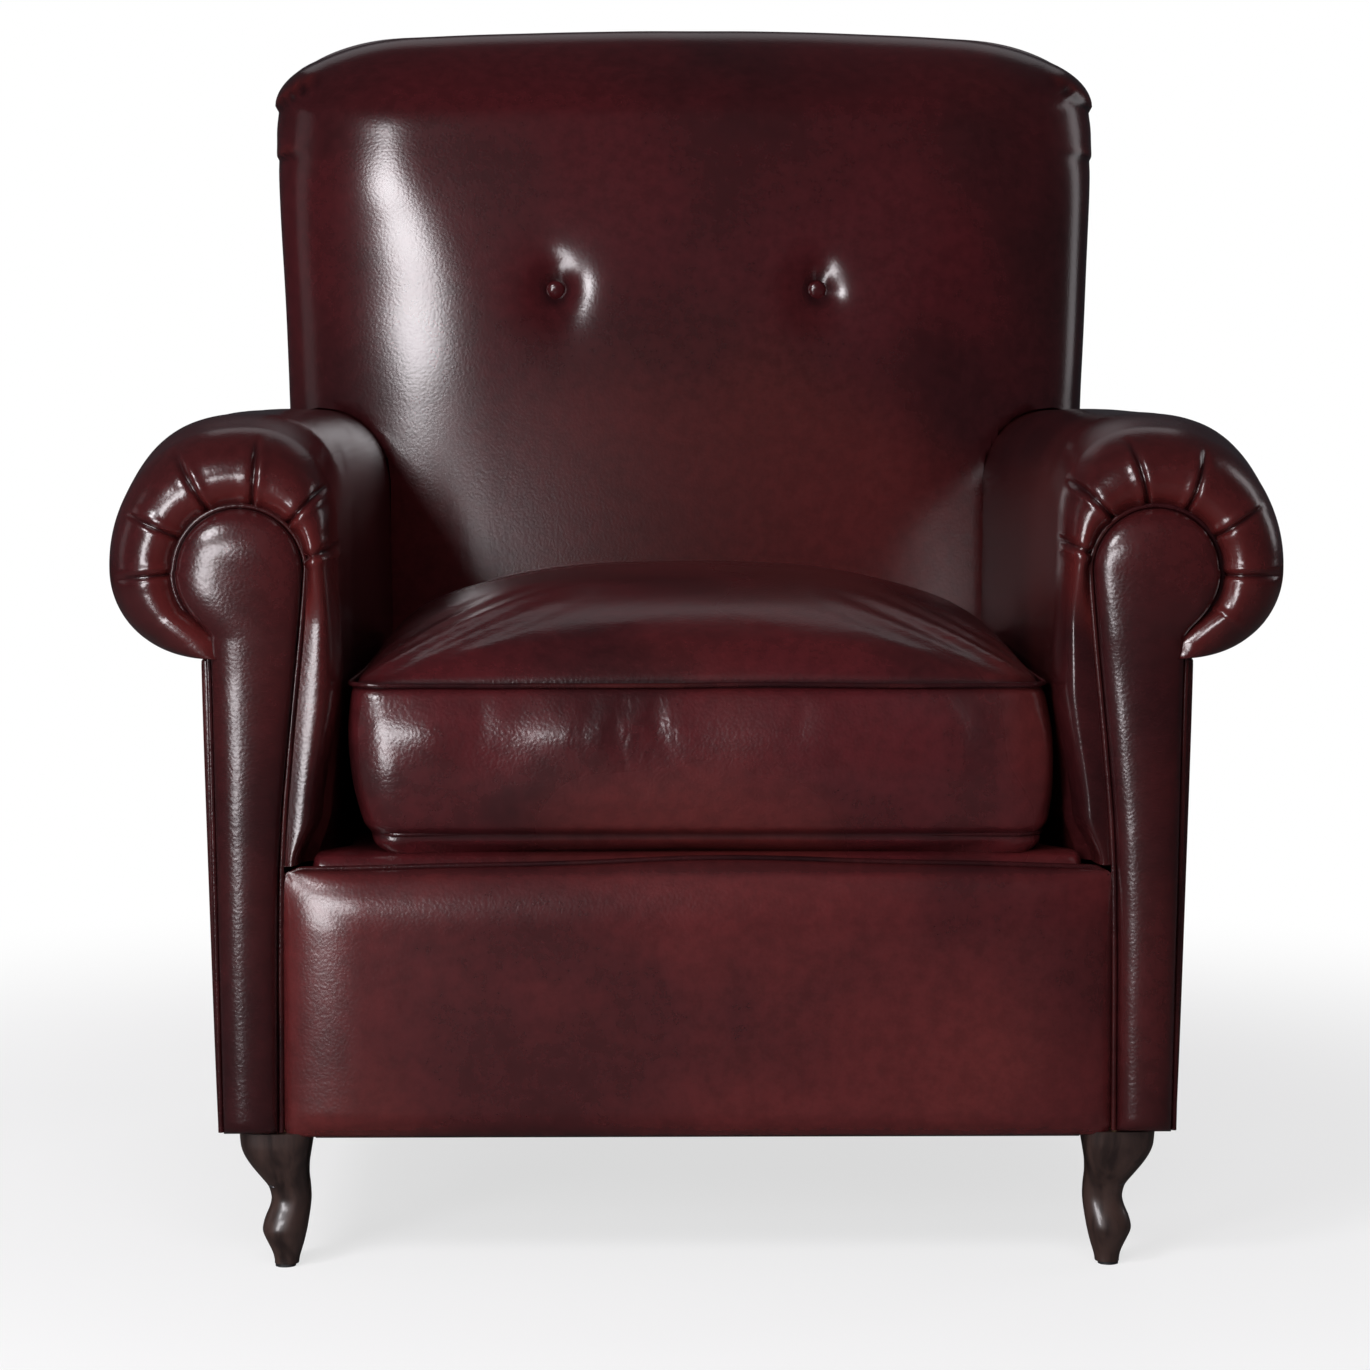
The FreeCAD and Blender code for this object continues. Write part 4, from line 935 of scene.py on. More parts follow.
        amounts, crease_shading = self.pleat_depths(points)
        push(piece, amounts)
        # Painted shade in the pleats and along the piping seam
        paint(piece, crease_shading)
        from_head = np.hypot(np.abs(points[:, 0]) - self.centre, points[:, 2] - self.head_height)
        wear_and_highlight = 0.8 * hump(from_head - self.head, 0.008, 0.010) * (points[:, 1] < -0.40)
        paint(piece, wear_and_highlight, "wear_and_highlight")
        word = self.side.word
        dress(piece, Finish.ARM, Body.CHAIR, (f"{word}_arm_cover", f"{word}_arm_pad"))

    def pleat_depths(self, points: Array) -> tuple[Array, Array]:
        """Work out the pleats that gather the leather round the facing's head.

        Args:
            points: The form's points.

        Returns:
            How far each point moves outwards, and how much painted shade it gets in a pleat or
            along the seam at the piping.
        """
        x = np.abs(points[:, 0]) - self.centre
        z = points[:, 2] - self.head_height
        radius = np.hypot(x, z)
        angle = np.arctan2(z, x)
        beyond = np.maximum(radius - self.head, 0) + np.maximum(points[:, 1] - self.front, 0) * 0.8
        near = smooth_step(radius, self.head - 0.008, self.head)
        amounts = np.zeros(len(points))
        crease_shading = np.zeros(len(points))
        for start, stop, weight in PLEATS[self.side]:
            share = np.clip((radius - self.head) / 0.045, 0, 1.3)
            middle = np.radians(start + (stop - start) * share)
            off = (angle - middle + math.pi) % (2 * math.pi) - math.pi
            across = radius * off
            fade = (1 - smooth_step(beyond, 0.026 * weight, 0.062 * weight)) * near
            wide = 0.0016 + 0.012 * np.clip(radius - self.head, 0, 0.06)
            groove = np.exp(-(np.abs(across) / wide) ** 1.5)
            lip = hump(across, 2.6 * wide, 2.0 * wide) + 0.4 * hump(across, -3.2 * wide, 2.4 * wide)
            amounts += fade * (-0.0034 * groove + 0.0013 * lip) * min(weight, 1)
            # Painted shade down each pleat's groove
            crease_shading = np.maximum(crease_shading, fade * np.exp(-(np.abs(across) / (0.8 * wide)) ** 1.4))
        # Painted shade along the seam where the leather meets the facing's piping
        seam = hump(radius, self.head + 0.001, 0.004) * (points[:, 1] < self.front + 0.01)
        uneven = 0.0007 * ripple(points, 38, 3 + self.side.value) * smooth_step(beyond, 0.03, 0.09)
        return amounts + uneven, np.maximum(crease_shading, 0.6 * seam)

    def facing_edges(self, z: Array, inset: float) -> tuple[Array, Array]:
        """Inner and outer edge of the facing at each height, in from its piping."""
        radius = self.head - inset
        rise = z - self.head_height
        round_off = np.sqrt(np.maximum(radius ** 2 - rise ** 2, 0))
        ties = np.array((self.foot, 0.22, 0.29, 0.34, 0.40, 0.46, self.head_height, 0.56))
        line = (0.301, 0.3005, 0.2995, 0.2965, 0.2908, 0.2845, 0.280, 0.280)
        inner = smooth_table(z, ties, line) + inset
        inner = np.where(rise > 0, self.centre - round_off, inner)
        outer_line = np.interp(z, (self.foot, self.head_height), (0.3445, 0.3505)) - inset
        ball = self.centre + round_off
        beside = np.abs(rise) < radius
        reach = np.where(beside, ball, -1)
        fillet = 0.011
        mix = (outer_line + reach + np.sqrt((outer_line - reach) ** 2 + fillet ** 2)) / 2
        outer = np.where(rise > 0, ball, np.where(beside, mix, outer_line))
        near = smooth_step(z, self.head_height - 0.09, self.head_height - 0.05)
        return inner, outer + np.where((rise <= 0) & ~beside, near * 0.0004, 0)

    def build_facing(self) -> None:
        """Make the facing's padded leather panel."""
        piece, across, up = grid(f"{self.side.word}_facing_leather", 28, 190)
        low = self.foot - 0.0002
        top = self.head_height + self.head - 0.0022
        turn = (up - 0.8) / 0.2 * math.pi / 2
        reach = np.where(up < 0.8, up / 0.8 * 0.86, 0.86 + 0.14 * np.sin(turn))
        z = low + (top - low) * reach
        inner, outer = self.facing_edges(z, 0.0020)
        wave = (1 - np.cos(across * math.pi)) / 2
        x = inner + (outer - inner) * wave
        half = (outer - inner) / 2
        head = smooth_step(z, 0.43, 0.50)
        dome = np.clip(1 - (2 * wave - 1) ** 2, 0, 1) ** (0.45 - 0.10 * head)
        depth = 0.0148 + 0.0036 * head * smooth_step(half, 0.002, 0.030)
        dome *= quarter((z - low) / 0.010) * quarter((top + 0.001 - z) / 0.040)
        y = self.panel - depth * dome
        put_points(piece, stack(x * self.side.value, y, z))
        close_behind(piece, -0.4215)
        points = points_of(piece)
        push(piece, 0.0007 * ripple(points, 38, 11) * (points[:, 1] < -0.43))
        # Painted shade where the facing's sides turn back into the arm
        paint(piece, 0.75 * smooth_step(-points[:, 1], 0.4335, 0.4255))
        word = self.side.word
        dress(piece, Finish.FACING, Body.CHAIR, (f"{word}_facing_cover",))

    def build_piping(self) -> None:
        """Run the piping up the facing's inner edge, over its head and down the outer edge."""
        low = self.foot + 0.0008
        rise = np.linspace(low, self.head_height, 60)
        inner, _ = self.facing_edges(rise, 0.0)
        _, outer = self.facing_edges(rise[::-1], 0.0)
        angle = np.linspace(math.pi, 0, 60)[1:-1]
        x = np.concatenate([inner, self.centre + self.head * np.cos(angle), outer])
        z = np.concatenate([rise, self.head_height + self.head * np.sin(angle), rise[::-1]])
        path = spaced(stack(x * self.side.value, -0.4243, z), 0.004, closed=False)
        piece = cord_round(f"{self.side.word}_facing_cord", path, self.pipe, closed=False)
        dress(piece, Finish.PIPING, Body.CHAIR, (f"{self.side.word}_facing_piping",))

    def build_outside(self) -> None:
        """Make the leather panel on the arm's outer side."""
        piece, share = cube(f"{self.side.word}_outside_arm_leather", (6, 90, 44))
        a, b, c = share.T
        straight, normal = rounded(share, 0.12, 0.12, 0.12)
        top = self.head_height - self.tuck - 0.0005
        radii = (0.0025, 0.0025)
        z = bent(straight[2], normal[2], self.foot + CLEARANCE, top, radii)
        head = np.interp(z, (self.foot, top), (0.0072, 0.0158))
        near = self.frame_side + CLEARANCE
        x = bent(straight[0], normal[0], near, self.frame_side + head, radii)
        y = bent(straight[1], normal[1], -0.4188, self.behind_at(z), radii)
        x = x + np.where(a > 0.9, 0.0022 * (1 - b ** 4) * (1 - c ** 4), 0)
        put_points(piece, stack(x * self.side.value, y, z))
        tidy_mesh(piece)
        word = self.side.word
        dress(piece, Finish.ARM, Body.CHAIR, (f"{word}_outside_arm_panel",))

    def build(self) -> None:
        """Make every piece of the arm."""
        self.build_form()
        self.build_facing()
        self.build_piping()
        self.build_outside()


@dataclass
class TuftedBack:
    """The inside back: one padded form rolled over the top, with two buttons.

    Each fold has the X and Z of its start, those of its end, and its weight.
    """

    foot: float = 0.3075
    top: float = 0.9605
    crown: float = 0.022
    top_crown: float = 0.010
    corner: float = 0.086
    arm_top: float = 0.6172
    panel_top: float = 0.818
    button_x: float = 0.1150
    button_z: float = 0.722
    dimple_reach: float = 0.019
    dimple_depth: float = 0.017
    button: tuple[float, float] = (0.0088, 0.0052)
    front_rake: float = 0.19982
    folds: tuple[tuple[float, float, float, float, float], ...] = (
        (0.329, 0.914, 0.3626, 0.892, 1.2), (0.3446, 0.847, 0.3663, 0.843, 0.7))

    def front_at(self, z: Array) -> Array:
        """Depth of the inside back's side edges at a height."""
        return 0.150 + self.front_rake * (z - 0.307)

    def rear_at(self, z: Array) -> Array:
        """Depth of the back's rear at a height: the raked frame, then the roll over its top."""
        plane = panel_front(z) - CLEARANCE
        roll = smooth_step(z, self.panel_top - 0.004, self.panel_top + 0.020)
        return plane + (0.4395 - plane) * roll

    def half_at(self, z: Array) -> Array:
        """Half the back's width at a height, which flares towards the top."""
        return 0.3545 + 0.0155 * np.clip((z - self.arm_top) / 0.25, 0, 1)

    def room_at(self, z: Array) -> Array:
        """Half the room that the arms leave the back at a height."""
        lean = np.linspace(0, 1, 200) ** 0.5 * (SHOULDER - 0.0002)
        height = fuller(ROLL_HEIGHT + ROLL - SHOULDER + lean, np.full(200, ARM_DEPTH))
        between = np.interp(z, height, ROLL_CENTRE - np.sqrt(SHOULDER ** 2 - lean ** 2)) - 0.0008
        return between + 0.06 * smooth_step(z, self.arm_top - 0.001, self.arm_top + 0.004)

    def surface(self, x: Array, z: Array) -> Array:
        """How far the padding bulges in front of its side edges."""
        half = self.half_at(z)
        bow = self.crown * np.clip(1 - (x / half) ** 2, 0, 1)
        return bow + 0.016 * np.sin(np.clip((z - self.foot) / 0.64, 0, 1) * math.pi)

    def shape(self, share: Array) -> Array:
        """Give the plain padded form's points, before its dimples and folds.

        Args:
            share: The cube's points in shares from -1 to 1.

        Returns:
            The form's points.
        """
        a, b, c = share.T
        a = crowd(a, (-0.33, 0.33, -0.92, 0.92), 0.09, 1.6)
        c = crowd(c, (0.27, 0.66, 0.86), 0.07, 2.4)
        flat_x, bend_x = zones(a, 0.22, 0.22)
        flat_y, bend_y = zones(b, 0.45, 0.45)
        flat_z, bend_z = zones(c, 0.03, 0.24)
        nx, ny, nz = unit(bend_x, bend_y, bend_z)
        top = self.top - self.top_crown * a ** 2 * (c > 0)
        sideways = nx ** 2 / np.maximum(nx ** 2 + ny ** 2, 0.02)
        z = bent(flat_z, nz, self.foot, top, (0.004, self.corner - 0.028 * sideways))
        high = smooth_step(z, 0.80, 0.88)
        half = self.half_at(z)
        ahead = smooth_step(-b, -0.1, 0.6)
        round_rear = 0.018 + 0.096 * high
        round_front = 0.132 + 0.048 * smooth_step(-z, -0.85, -0.70)
        round_x = round_rear + (round_front - round_rear) * ahead
        x = bent(flat_x, nx, -half, half, (round_x, round_x))
        depths = (0.065 + 0.009 * high, 0.018 + 0.057 * high)
        y = bent(flat_y, ny, self.front_at(z), self.rear_at(z), depths)
        facing = smooth_step(-b, 0.2, 0.95) * (1 - smooth_step(z, 0.88, 0.95))
        y = y - self.surface(x, z) * facing
        room = self.room_at(z)
        x = np.clip(x, -room, room)
        under = 1 - smooth_step(z, self.arm_top + 0.004, self.arm_top + 0.03)
        return stack(x, y, z - under * self.drop_at(x))

    def drop_at(self, x: Array) -> Array:
        """How far the form's lower edge follows the arm's roll down at each X."""
        over = np.clip(np.abs(x) - ROLL_CENTRE, 0, 0.05)
        arm = ROLL_HEIGHT + np.sqrt(ROLL ** 2 - over ** 2)
        drop = self.arm_top - fuller(arm, np.full_like(arm, ARM_DEPTH))
        return drop + 0.005 * smooth_step(np.abs(x), 0.322, 0.342)

    def build_form(self) -> None:
        """Make the padded form with its dimples and corner folds."""
        piece, share = cube("inside_back_leather", (156, 34, 150))
        put_points(piece, self.shape(share))
        tidy_mesh(piece)
        amounts, crease_shading, wear_and_highlight = self.relief(points_of(piece))
        push(piece, amounts)
        moved, depth = self.dimples(points_of(piece))
        put_points(piece, moved)
        # Painted shade in the folds, at the foot and round the buttons; painted highlight along the
        # folds' lips
        paint(piece, np.maximum(crease_shading, depth))
        paint(piece, wear_and_highlight, "wear_and_highlight")
        dress(piece, Finish.BACK, Body.CHAIR, ("inside_back_cover", "back_pad"))

    def relief(self, points: Array) -> tuple[Array, Array, Array]:
        """Work out the gathered folds at the upper corners, and slow dents.

        Args:
            points: The form's points.

        Returns:
            How far each point moves outwards, how much painted shade it gets in a fold or at the
            foot, and how much painted highlight runs along each fold's lip.
        """
        x, y, z = points.T
        amounts = 0.0012 * ripple(points, 16, 5) * smooth_step(z, 0.62, 0.70)
        amounts -= 0.0008 * hump(z - 0.3 * x, 0.857, 0.024) * hump(x, -0.26, 0.06)
        crease_shading = np.zeros(len(points))
        wear_and_highlight = np.zeros(len(points))
        width = np.abs(x)
        for start_x, start_z, end_x, end_z, weight in self.folds:
            run = np.array([end_x - start_x, end_z - start_z])
            length = np.linalg.norm(run)
            run = run / length
            along = (width - start_x) * run[0] + (z - start_z) * run[1]
            across = -(width - start_x) * run[1] + (z - start_z) * run[0]
            fade = smooth_step(along, -0.006, 0.012) * (z > 0.80)
            fade = fade * (1 - 0.6 * smooth_step(y, 0.36, 0.43))
            step = np.tanh(across / 0.0024)
            near = np.exp(-np.abs(across) / np.where(across > 0, 0.016, 0.005))
            amounts += 0.0024 * weight * fade * step * near
            # Painted shade down each fold, and a painted highlight in the flare tone along its lip
            crease_shading = np.maximum(crease_shading, fade * hump(across, -0.0010, 0.0030))
            wear_and_highlight = np.maximum(wear_and_highlight, 0.5 * fade * hump(across, 0.0042, 0.0036))
        # Painted shade along the foot of the back, against the seat
        seam = hump(z, self.foot, 0.02) * 0.3
        return amounts, np.maximum(crease_shading, seam), wear_and_highlight

    def dimples(self, points: Array) -> tuple[Array, Array]:
        """Draw the face in round each button, with a few short puckers.

        Args:
            points: The form's points.

        Returns:
            The moved points, and how much painted shade each gets in the ring round its button.
        """
        x, y, z = points.T
        depth = np.zeros(len(points))
        crease_shade = np.zeros(len(points))
        facing = y < self.front_at(z) + 0.03
        for sign in (-1, 1):
            dx = x - sign * self.button_x
            dz = z - self.button_z
            reach = np.hypot(dx * 1.08, dz * 0.84)
            share = np.exp(-(reach / self.dimple_reach) ** 1.4)
            angle = np.arctan2(dz, dx)
            pucker = 0.0003 * np.cos(4 * angle + 1.3 * sign) * share * (1 - share) * 4
            depth += (self.dimple_depth * share + pucker) * facing
            # Painted shade in a ring round each button
            crease_shade = np.maximum(crease_shade, facing * hump(reach, 0.0085, 0.0045) * 0.9)
        moved = points.copy()
        moved[:, 1] += depth
        return moved, crease_shade

    def build_buttons(self) -> None:
        """Make the two leather-covered buttons at the bottom of their dimples."""
        deselect()
        bpy.ops.mesh.primitive_uv_sphere_add(segments=40, ring_count=20, radius=1)
        piece = bpy.context.object
        piece.name = "leather_buttons"
        ball = points_of(piece)
        face = self.front_at(self.button_z) - self.surface(self.button_x, self.button_z)
        lean = math.atan(self.front_rake)
        turn = np.array([[1, 0, 0], [0, math.cos(lean), math.sin(lean)],
                         [0, -math.sin(lean), math.cos(lean)]])
        rim = np.hypot(ball[:, 0], ball[:, 2])
        wide, thick = self.button
        shaped = ball * (wide, thick, wide)
        shaped[:, 1] *= 1 + 0.12 * rim
        shaped = shaped @ turn
        seat = np.array([self.button_x, face + self.dimple_depth - 0.0022, self.button_z])
        put_points(piece, shaped + seat)
        with editing(piece, "SELECT"):
            bpy.ops.mesh.duplicate()
            bpy.ops.transform.translate(value=(-2 * self.button_x, 0, 0))
        tidy_mesh(piece)
        dress(piece, Finish.BACK, Body.CHAIR, ("back_buttons",))

    def build_outside(self) -> None:
        """Make the outside back: a flat padded panel that closes the frame behind."""
        piece, share = cube("outside_back_leather", (80, 6, 90))
        a, b, c = share.T
        straight, normal = rounded(share, 0.08, 0.08, 0.08)
        z = bent(straight[2], normal[2], LEG_TOP + CLEARANCE, self.panel_top, (0.004, 0.004))
        half = np.interp(z, (LEG_TOP, 0.45, self.arm_top, self.panel_top),
                         (0.3468, 0.3515, 0.3555, 0.3655))
        x = bent(straight[0], normal[0], -half, half, (0.004, 0.004))
        plane = panel_front(z)
        y = bent(straight[1], normal[1], plane + 0.0002, plane + 0.0080, (0.0035, 0.0035))
        y = y + np.where(b > 0.9, 0.004 * (1 - a ** 4) * (1 - c ** 4), 0)
        put_points(piece, stack(x, y, z))
        tidy_mesh(piece)
        points = points_of(piece)
        push(piece, 0.0008 * ripple(points, 14, 23) * (points[:, 1] > plane.min()))
        dress(piece, Finish.BACK, Body.CHAIR, ("outside_back_panel",))

    def build(self) -> None:
        """Make every piece of the back."""
        self.build_form()
        self.build_buttons()
        self.build_outside()


# Folds that hang from the upper seam: X, slant, length and weight
CUSHION_FOLDS = (
    (-0.150, 0.25, 0.050, 0.5), (-0.078, 0.10, 0.062, 0.6), (-0.056, 0.03, 0.070, 0.8),
    (-0.030, -0.08, 0.060, 0.7), (0.070, -0.10, 0.050, 0.4), (0.180, -0.20, 0.060, 0.4))
# Soft swellings of the front boxing: X, Z, half width, half height and rise
CUSHION_SWELLINGS = (
    (-0.193, 0.394, 0.026, 0.026, 0.0030), (-0.086, 0.396, 0.034, 0.024, 0.0036),
    (0.110, 0.388, 0.050, 0.030, 0.0016))


@dataclass
class SeatCushion:
    """The loose cushion: a boxed, crowned cover with piping round both seams."""

    half: float = 0.2520
    front: float = -0.4130
    rear: float = 0.1150
    foot: float = 0.3074
    lower_seam: float = 0.3195
    upper_seam: float = 0.4273
    crown: float = 0.0690
    belly: float = 0.0110
    corner: float = 0.026
    pipe: float = 0.0019
    draw: float = 0.004
    lip_drop: float = 0.0062
    cloth_limit: float = 0.007
    most_half: float = 0.2574

    def lip_at(self, y: Array, low: Array) -> Array:
        """How far the cushion's front edge hangs over the edge of the deck.

        Args:
            y: The points' Y.
            low: How much of the drop each point takes, from 0 to 1.

        Returns:
            The drop at each point.
        """
        return self.lip_drop * smooth_step(-y, 0.386, 0.402) * low

    def plan(self, a: Array, b: Array, low: Array) -> tuple[Array, Array]:
        """Place points of the cushion's plan, with round corners and sides drawn in between them.

        Args:
            a: Shares across, from -1 to 1.
            b: Shares from front to rear, from -1 to 1.
            low: How near each point lies to the lower seam, from 0 to 1.

        Returns:
            The points' X and Y.
        """
        flat_x, bend_x = zones(a, 0.2, 0.2)
        flat_y, bend_y = zones(b, 0.2, 0.2)
        most = np.maximum(np.abs(bend_x), np.abs(bend_y))
        length = np.maximum(np.hypot(bend_x, bend_y), 1e-9)
        nx = bend_x * most / length
        ny = bend_y * most / length
        radii = (self.corner, self.corner)
        x = bent(flat_x, nx, -self.half, self.half, radii)
        y = bent(flat_y, ny, self.front, self.rear, radii)
        x = x - np.sign(a) * (self.draw * (1 - b ** 2) * np.abs(a) ** 3)
        y = y + np.where(b < 0, self.draw * (1 - a ** 2) * np.abs(b) ** 3, 0)
        ahead = smooth_step(-b, -0.4, 1.0)
        x = x + low * ahead * (0.017 * smooth_step(-a, 0.1, 1.0) - 0.002 * smooth_step(a, 0.1, 1.0))
        return x, y

    def build_cover(self) -> None:
        """Make the stuffed cover: shape it, let it swell as cloth, and draw in its seams."""
        piece, share = cube("seat_cushion_leather", (60, 62, 16))
        a, b, c = share.T
        c = crowd(c, (-1.0,), 0.16, 2.5)
        x, y = self.plan(a, b, (1 - c) / 2)
        pillow = np.clip((1 - np.abs(a) ** 2.5) * (1 - np.abs(b) ** 2.5), 0, 1)
        z = self.foot + (c + 1) / 2 * (self.upper_seam - self.foot)
        turn = np.clip((self.foot + self.belly - z) / self.belly, 0, 1)
        tuck = self.belly * (1 - np.sqrt(1 - turn ** 2))
        z = np.where(c > 0.999, self.upper_seam + self.crown * pillow ** 0.8, z)
        z = z - self.lip_at(y, smooth_step(-c, 0.55, 1.0))
        swell = 0.0095 * (1 - c ** 2) - tuck
        x = x + np.abs(a) ** 12 * np.sign(a) * swell
        bow = 0.007 * (1 - a ** 2) * (1 - c ** 2)
        y = y + np.abs(b) ** 12 * np.where(b < 0, -swell - bow, -tuck)
        put_points(piece, stack(x, y, z))
        tidy_mesh(piece)
        pick(piece)
        piece.data.remesh_voxel_size = 0.0050
        bpy.ops.object.voxel_remesh()
        self.swell_as_cloth(piece)
        apply_modifier(piece, "SUBSURF", levels=1, render_levels=1)
        points = points_of(piece)
        moved, crease_shading, slack = self.seams_and_wrinkles(points)
        put_points(piece, moved)
        pick(piece)
        bpy.ops.object.shade_smooth()
        # Painted shade along the seams
        paint(piece, crease_shading)
        paint(piece, slack, "slack")
        dress(piece, Finish.SEAT, Body.CUSHION, ("cushion_cover", "cushion_core"))

    def swell_as_cloth(self, piece: bpy.types.Object) -> None:
        """Let the cover swell between its held seams, and limit how far it goes."""
        before = points_of(piece)
        x, y, z = before.T
        from_seam = np.minimum(np.abs(z - self.lower_seam), np.abs(z - self.upper_seam))
        rim = 0.014
        edge = (np.abs(x) > self.half - rim) | (y < self.front + rim) | (y > self.rear - rim)
        held = np.nonzero((from_seam < 0.005) & edge)[0]
        seam = piece.vertex_groups.new(name="seam")
        seam.add([int(index) for index in held], 1.0, "REPLACE")
        cloth = piece.modifiers.new("stuffing", "CLOTH")
        settings = cloth.settings
        settings.vertex_group_mass = seam.name
        settings.use_pressure = True
        settings.uniform_pressure_force = 4.0
        settings.effector_weights.gravity = 0
        settings.bending_stiffness = 2.0
        frames = 20
        cloth.point_cache.frame_start = 1
        cloth.point_cache.frame_end = frames
        scene = bpy.context.scene
        for step in range(1, frames + 1):
            scene.frame_set(step)
        pick(piece)
        bpy.ops.object.modifier_apply(modifier=cloth.name)
        scene.frame_set(1)
        change = points_of(piece) - before
        length = np.maximum(np.linalg.norm(change, axis=1), 1e-9)
        LOG.info("cushion cloth moved up to %.1f mm", 1000 * length.max())
        soft = self.cloth_limit * np.tanh(length / self.cloth_limit) / length
        put_points(piece, before + change * soft[:, None])
        apply_modifier(piece, "SMOOTH", factor=0.5, iterations=5)

    def wrinkles(self, points: Array, ahead: Array) -> Array:
        """Work out the folds and the soft swellings of the front boxing.

        Args:
            points: The cover's points.
            ahead: Whether each point is on the front, from 0 to 1.

        Returns:
            How far each point moves outwards.
        """
        x, _, z = points.T
        drop = self.upper_seam - z
        amount = np.zeros(len(points))
        for where, slope, length, weight in CUSHION_FOLDS:
            across = x - where + slope * drop + 0.0030 * np.sin(drop * 120 + where * 40)
            fade = (1 - smooth_step(drop, length * 0.2, length)) * smooth_step(drop, -0.004, 0.02)
            shape = hump(across, 0.0150, 0.0105) - hump(across, 0, 0.0060)
            amount += 0.0012 * weight * fade * shape
        for middle, high, wide, tall, rise in CUSHION_SWELLINGS:
            amount += rise * hump(x, middle, wide) * hump(z, high, tall)
        return amount * ahead

    def seams_and_wrinkles(self, points: Array) -> tuple[Array, Array, Array]:
        """Draw in the seams, and wrinkle the boxing where the leather is slack.

        Args:
            points: The cover's points.

        Returns:
            The moved points, how much painted shade each gets at a seam, and how slack the leather
            is there.
        """
        x, y, z = points.T
        outward = unit(np.sign(x) * smooth_step(np.abs(x), self.half - 0.05, self.half),
                       smooth_step(y, self.rear - 0.05, self.rear)
                       - smooth_step(-y, -self.front - 0.05, -self.front), np.zeros(len(x)))
        side = np.clip(np.hypot(outward[0], outward[1]), 0, 1)
        from_seam = np.minimum(np.abs(z - self.lower_seam), np.abs(z - self.upper_seam))
        seam = np.exp(-(from_seam / 0.0036) ** 2) * side
        boxing = side * smooth_step(z, self.lower_seam, self.lower_seam + 0.01)
        boxing = boxing * (1 - smooth_step(z, self.upper_seam - 0.006, self.upper_seam))
        ahead = smooth_step(-y, -self.front - 0.03, -self.front - 0.01)
        drop = self.upper_seam - z
        amount = self.wrinkles(points, ahead) - 0.0026 * seam
        amount = amount + boxing * 0.0014 * ripple(points, 26, 31)
        top = smooth_step(z, self.upper_seam + 0.004, self.upper_seam + 0.02)
        moved = points + np.column_stack(outward) * amount[:, None]
        moved[:, 2] += top * 0.0014 * ripple(points, 22, 37)
        moved[:, 2] = np.maximum(moved[:, 2], self.foot - self.lip_at(y, 1.0))
        moved[:, 0] = np.clip(moved[:, 0], -self.most_half, self.most_half)
        moved[:, 1] = np.clip(moved[:, 1], None, self.rear + 0.0002)
        slack = 0.08 + 0.75 * hump(x, -0.052, 0.038) * (1 - smooth_step(drop, 0.03, 0.075))
        slack = slack * ahead * (1 - seam) * smooth_step(drop, -0.002, 0.006)
        # The seams are also returned as painted shade along them
        return moved, 0.85 * seam, slack

    def build_piping(self) -> None:
        """Run piping round the cushion's two seams."""
        turn = np.linspace(-1, 1, 241)[:-1]
        ring = np.concatenate([stack(turn, -1, 0), stack(1, turn, 0), stack(-turn, 1, 0),
                               stack(-1, -turn, 0)])
        loops = []
        for name, height, low in (("cushion_cord_low", self.lower_seam, 1.0),
                                  ("cushion_cord_high", self.upper_seam, 0.0)):
            x, y = self.plan(ring[:, 0], ring[:, 1], low)
            path = spaced(stack(x * 1.004, y - 0.0012 * (y < -0.2), height), 0.0045, closed=True)
            path[:, 2] += 0.0009 * ripple(path, 30, 41)
            loops.append(cord_round(name, path, self.pipe, closed=True))
        pick(loops[0])
        loops[1].select_set(True)
        bpy.ops.object.join()
        piece = bpy.context.object
        piece.name = "cushion_cords"
        dress(piece, Finish.PIPING, Body.CUSHION, ("cushion_piping",))

    def build(self) -> None:
        """Make every piece of the cushion."""
        self.build_cover()
        self.build_piping()


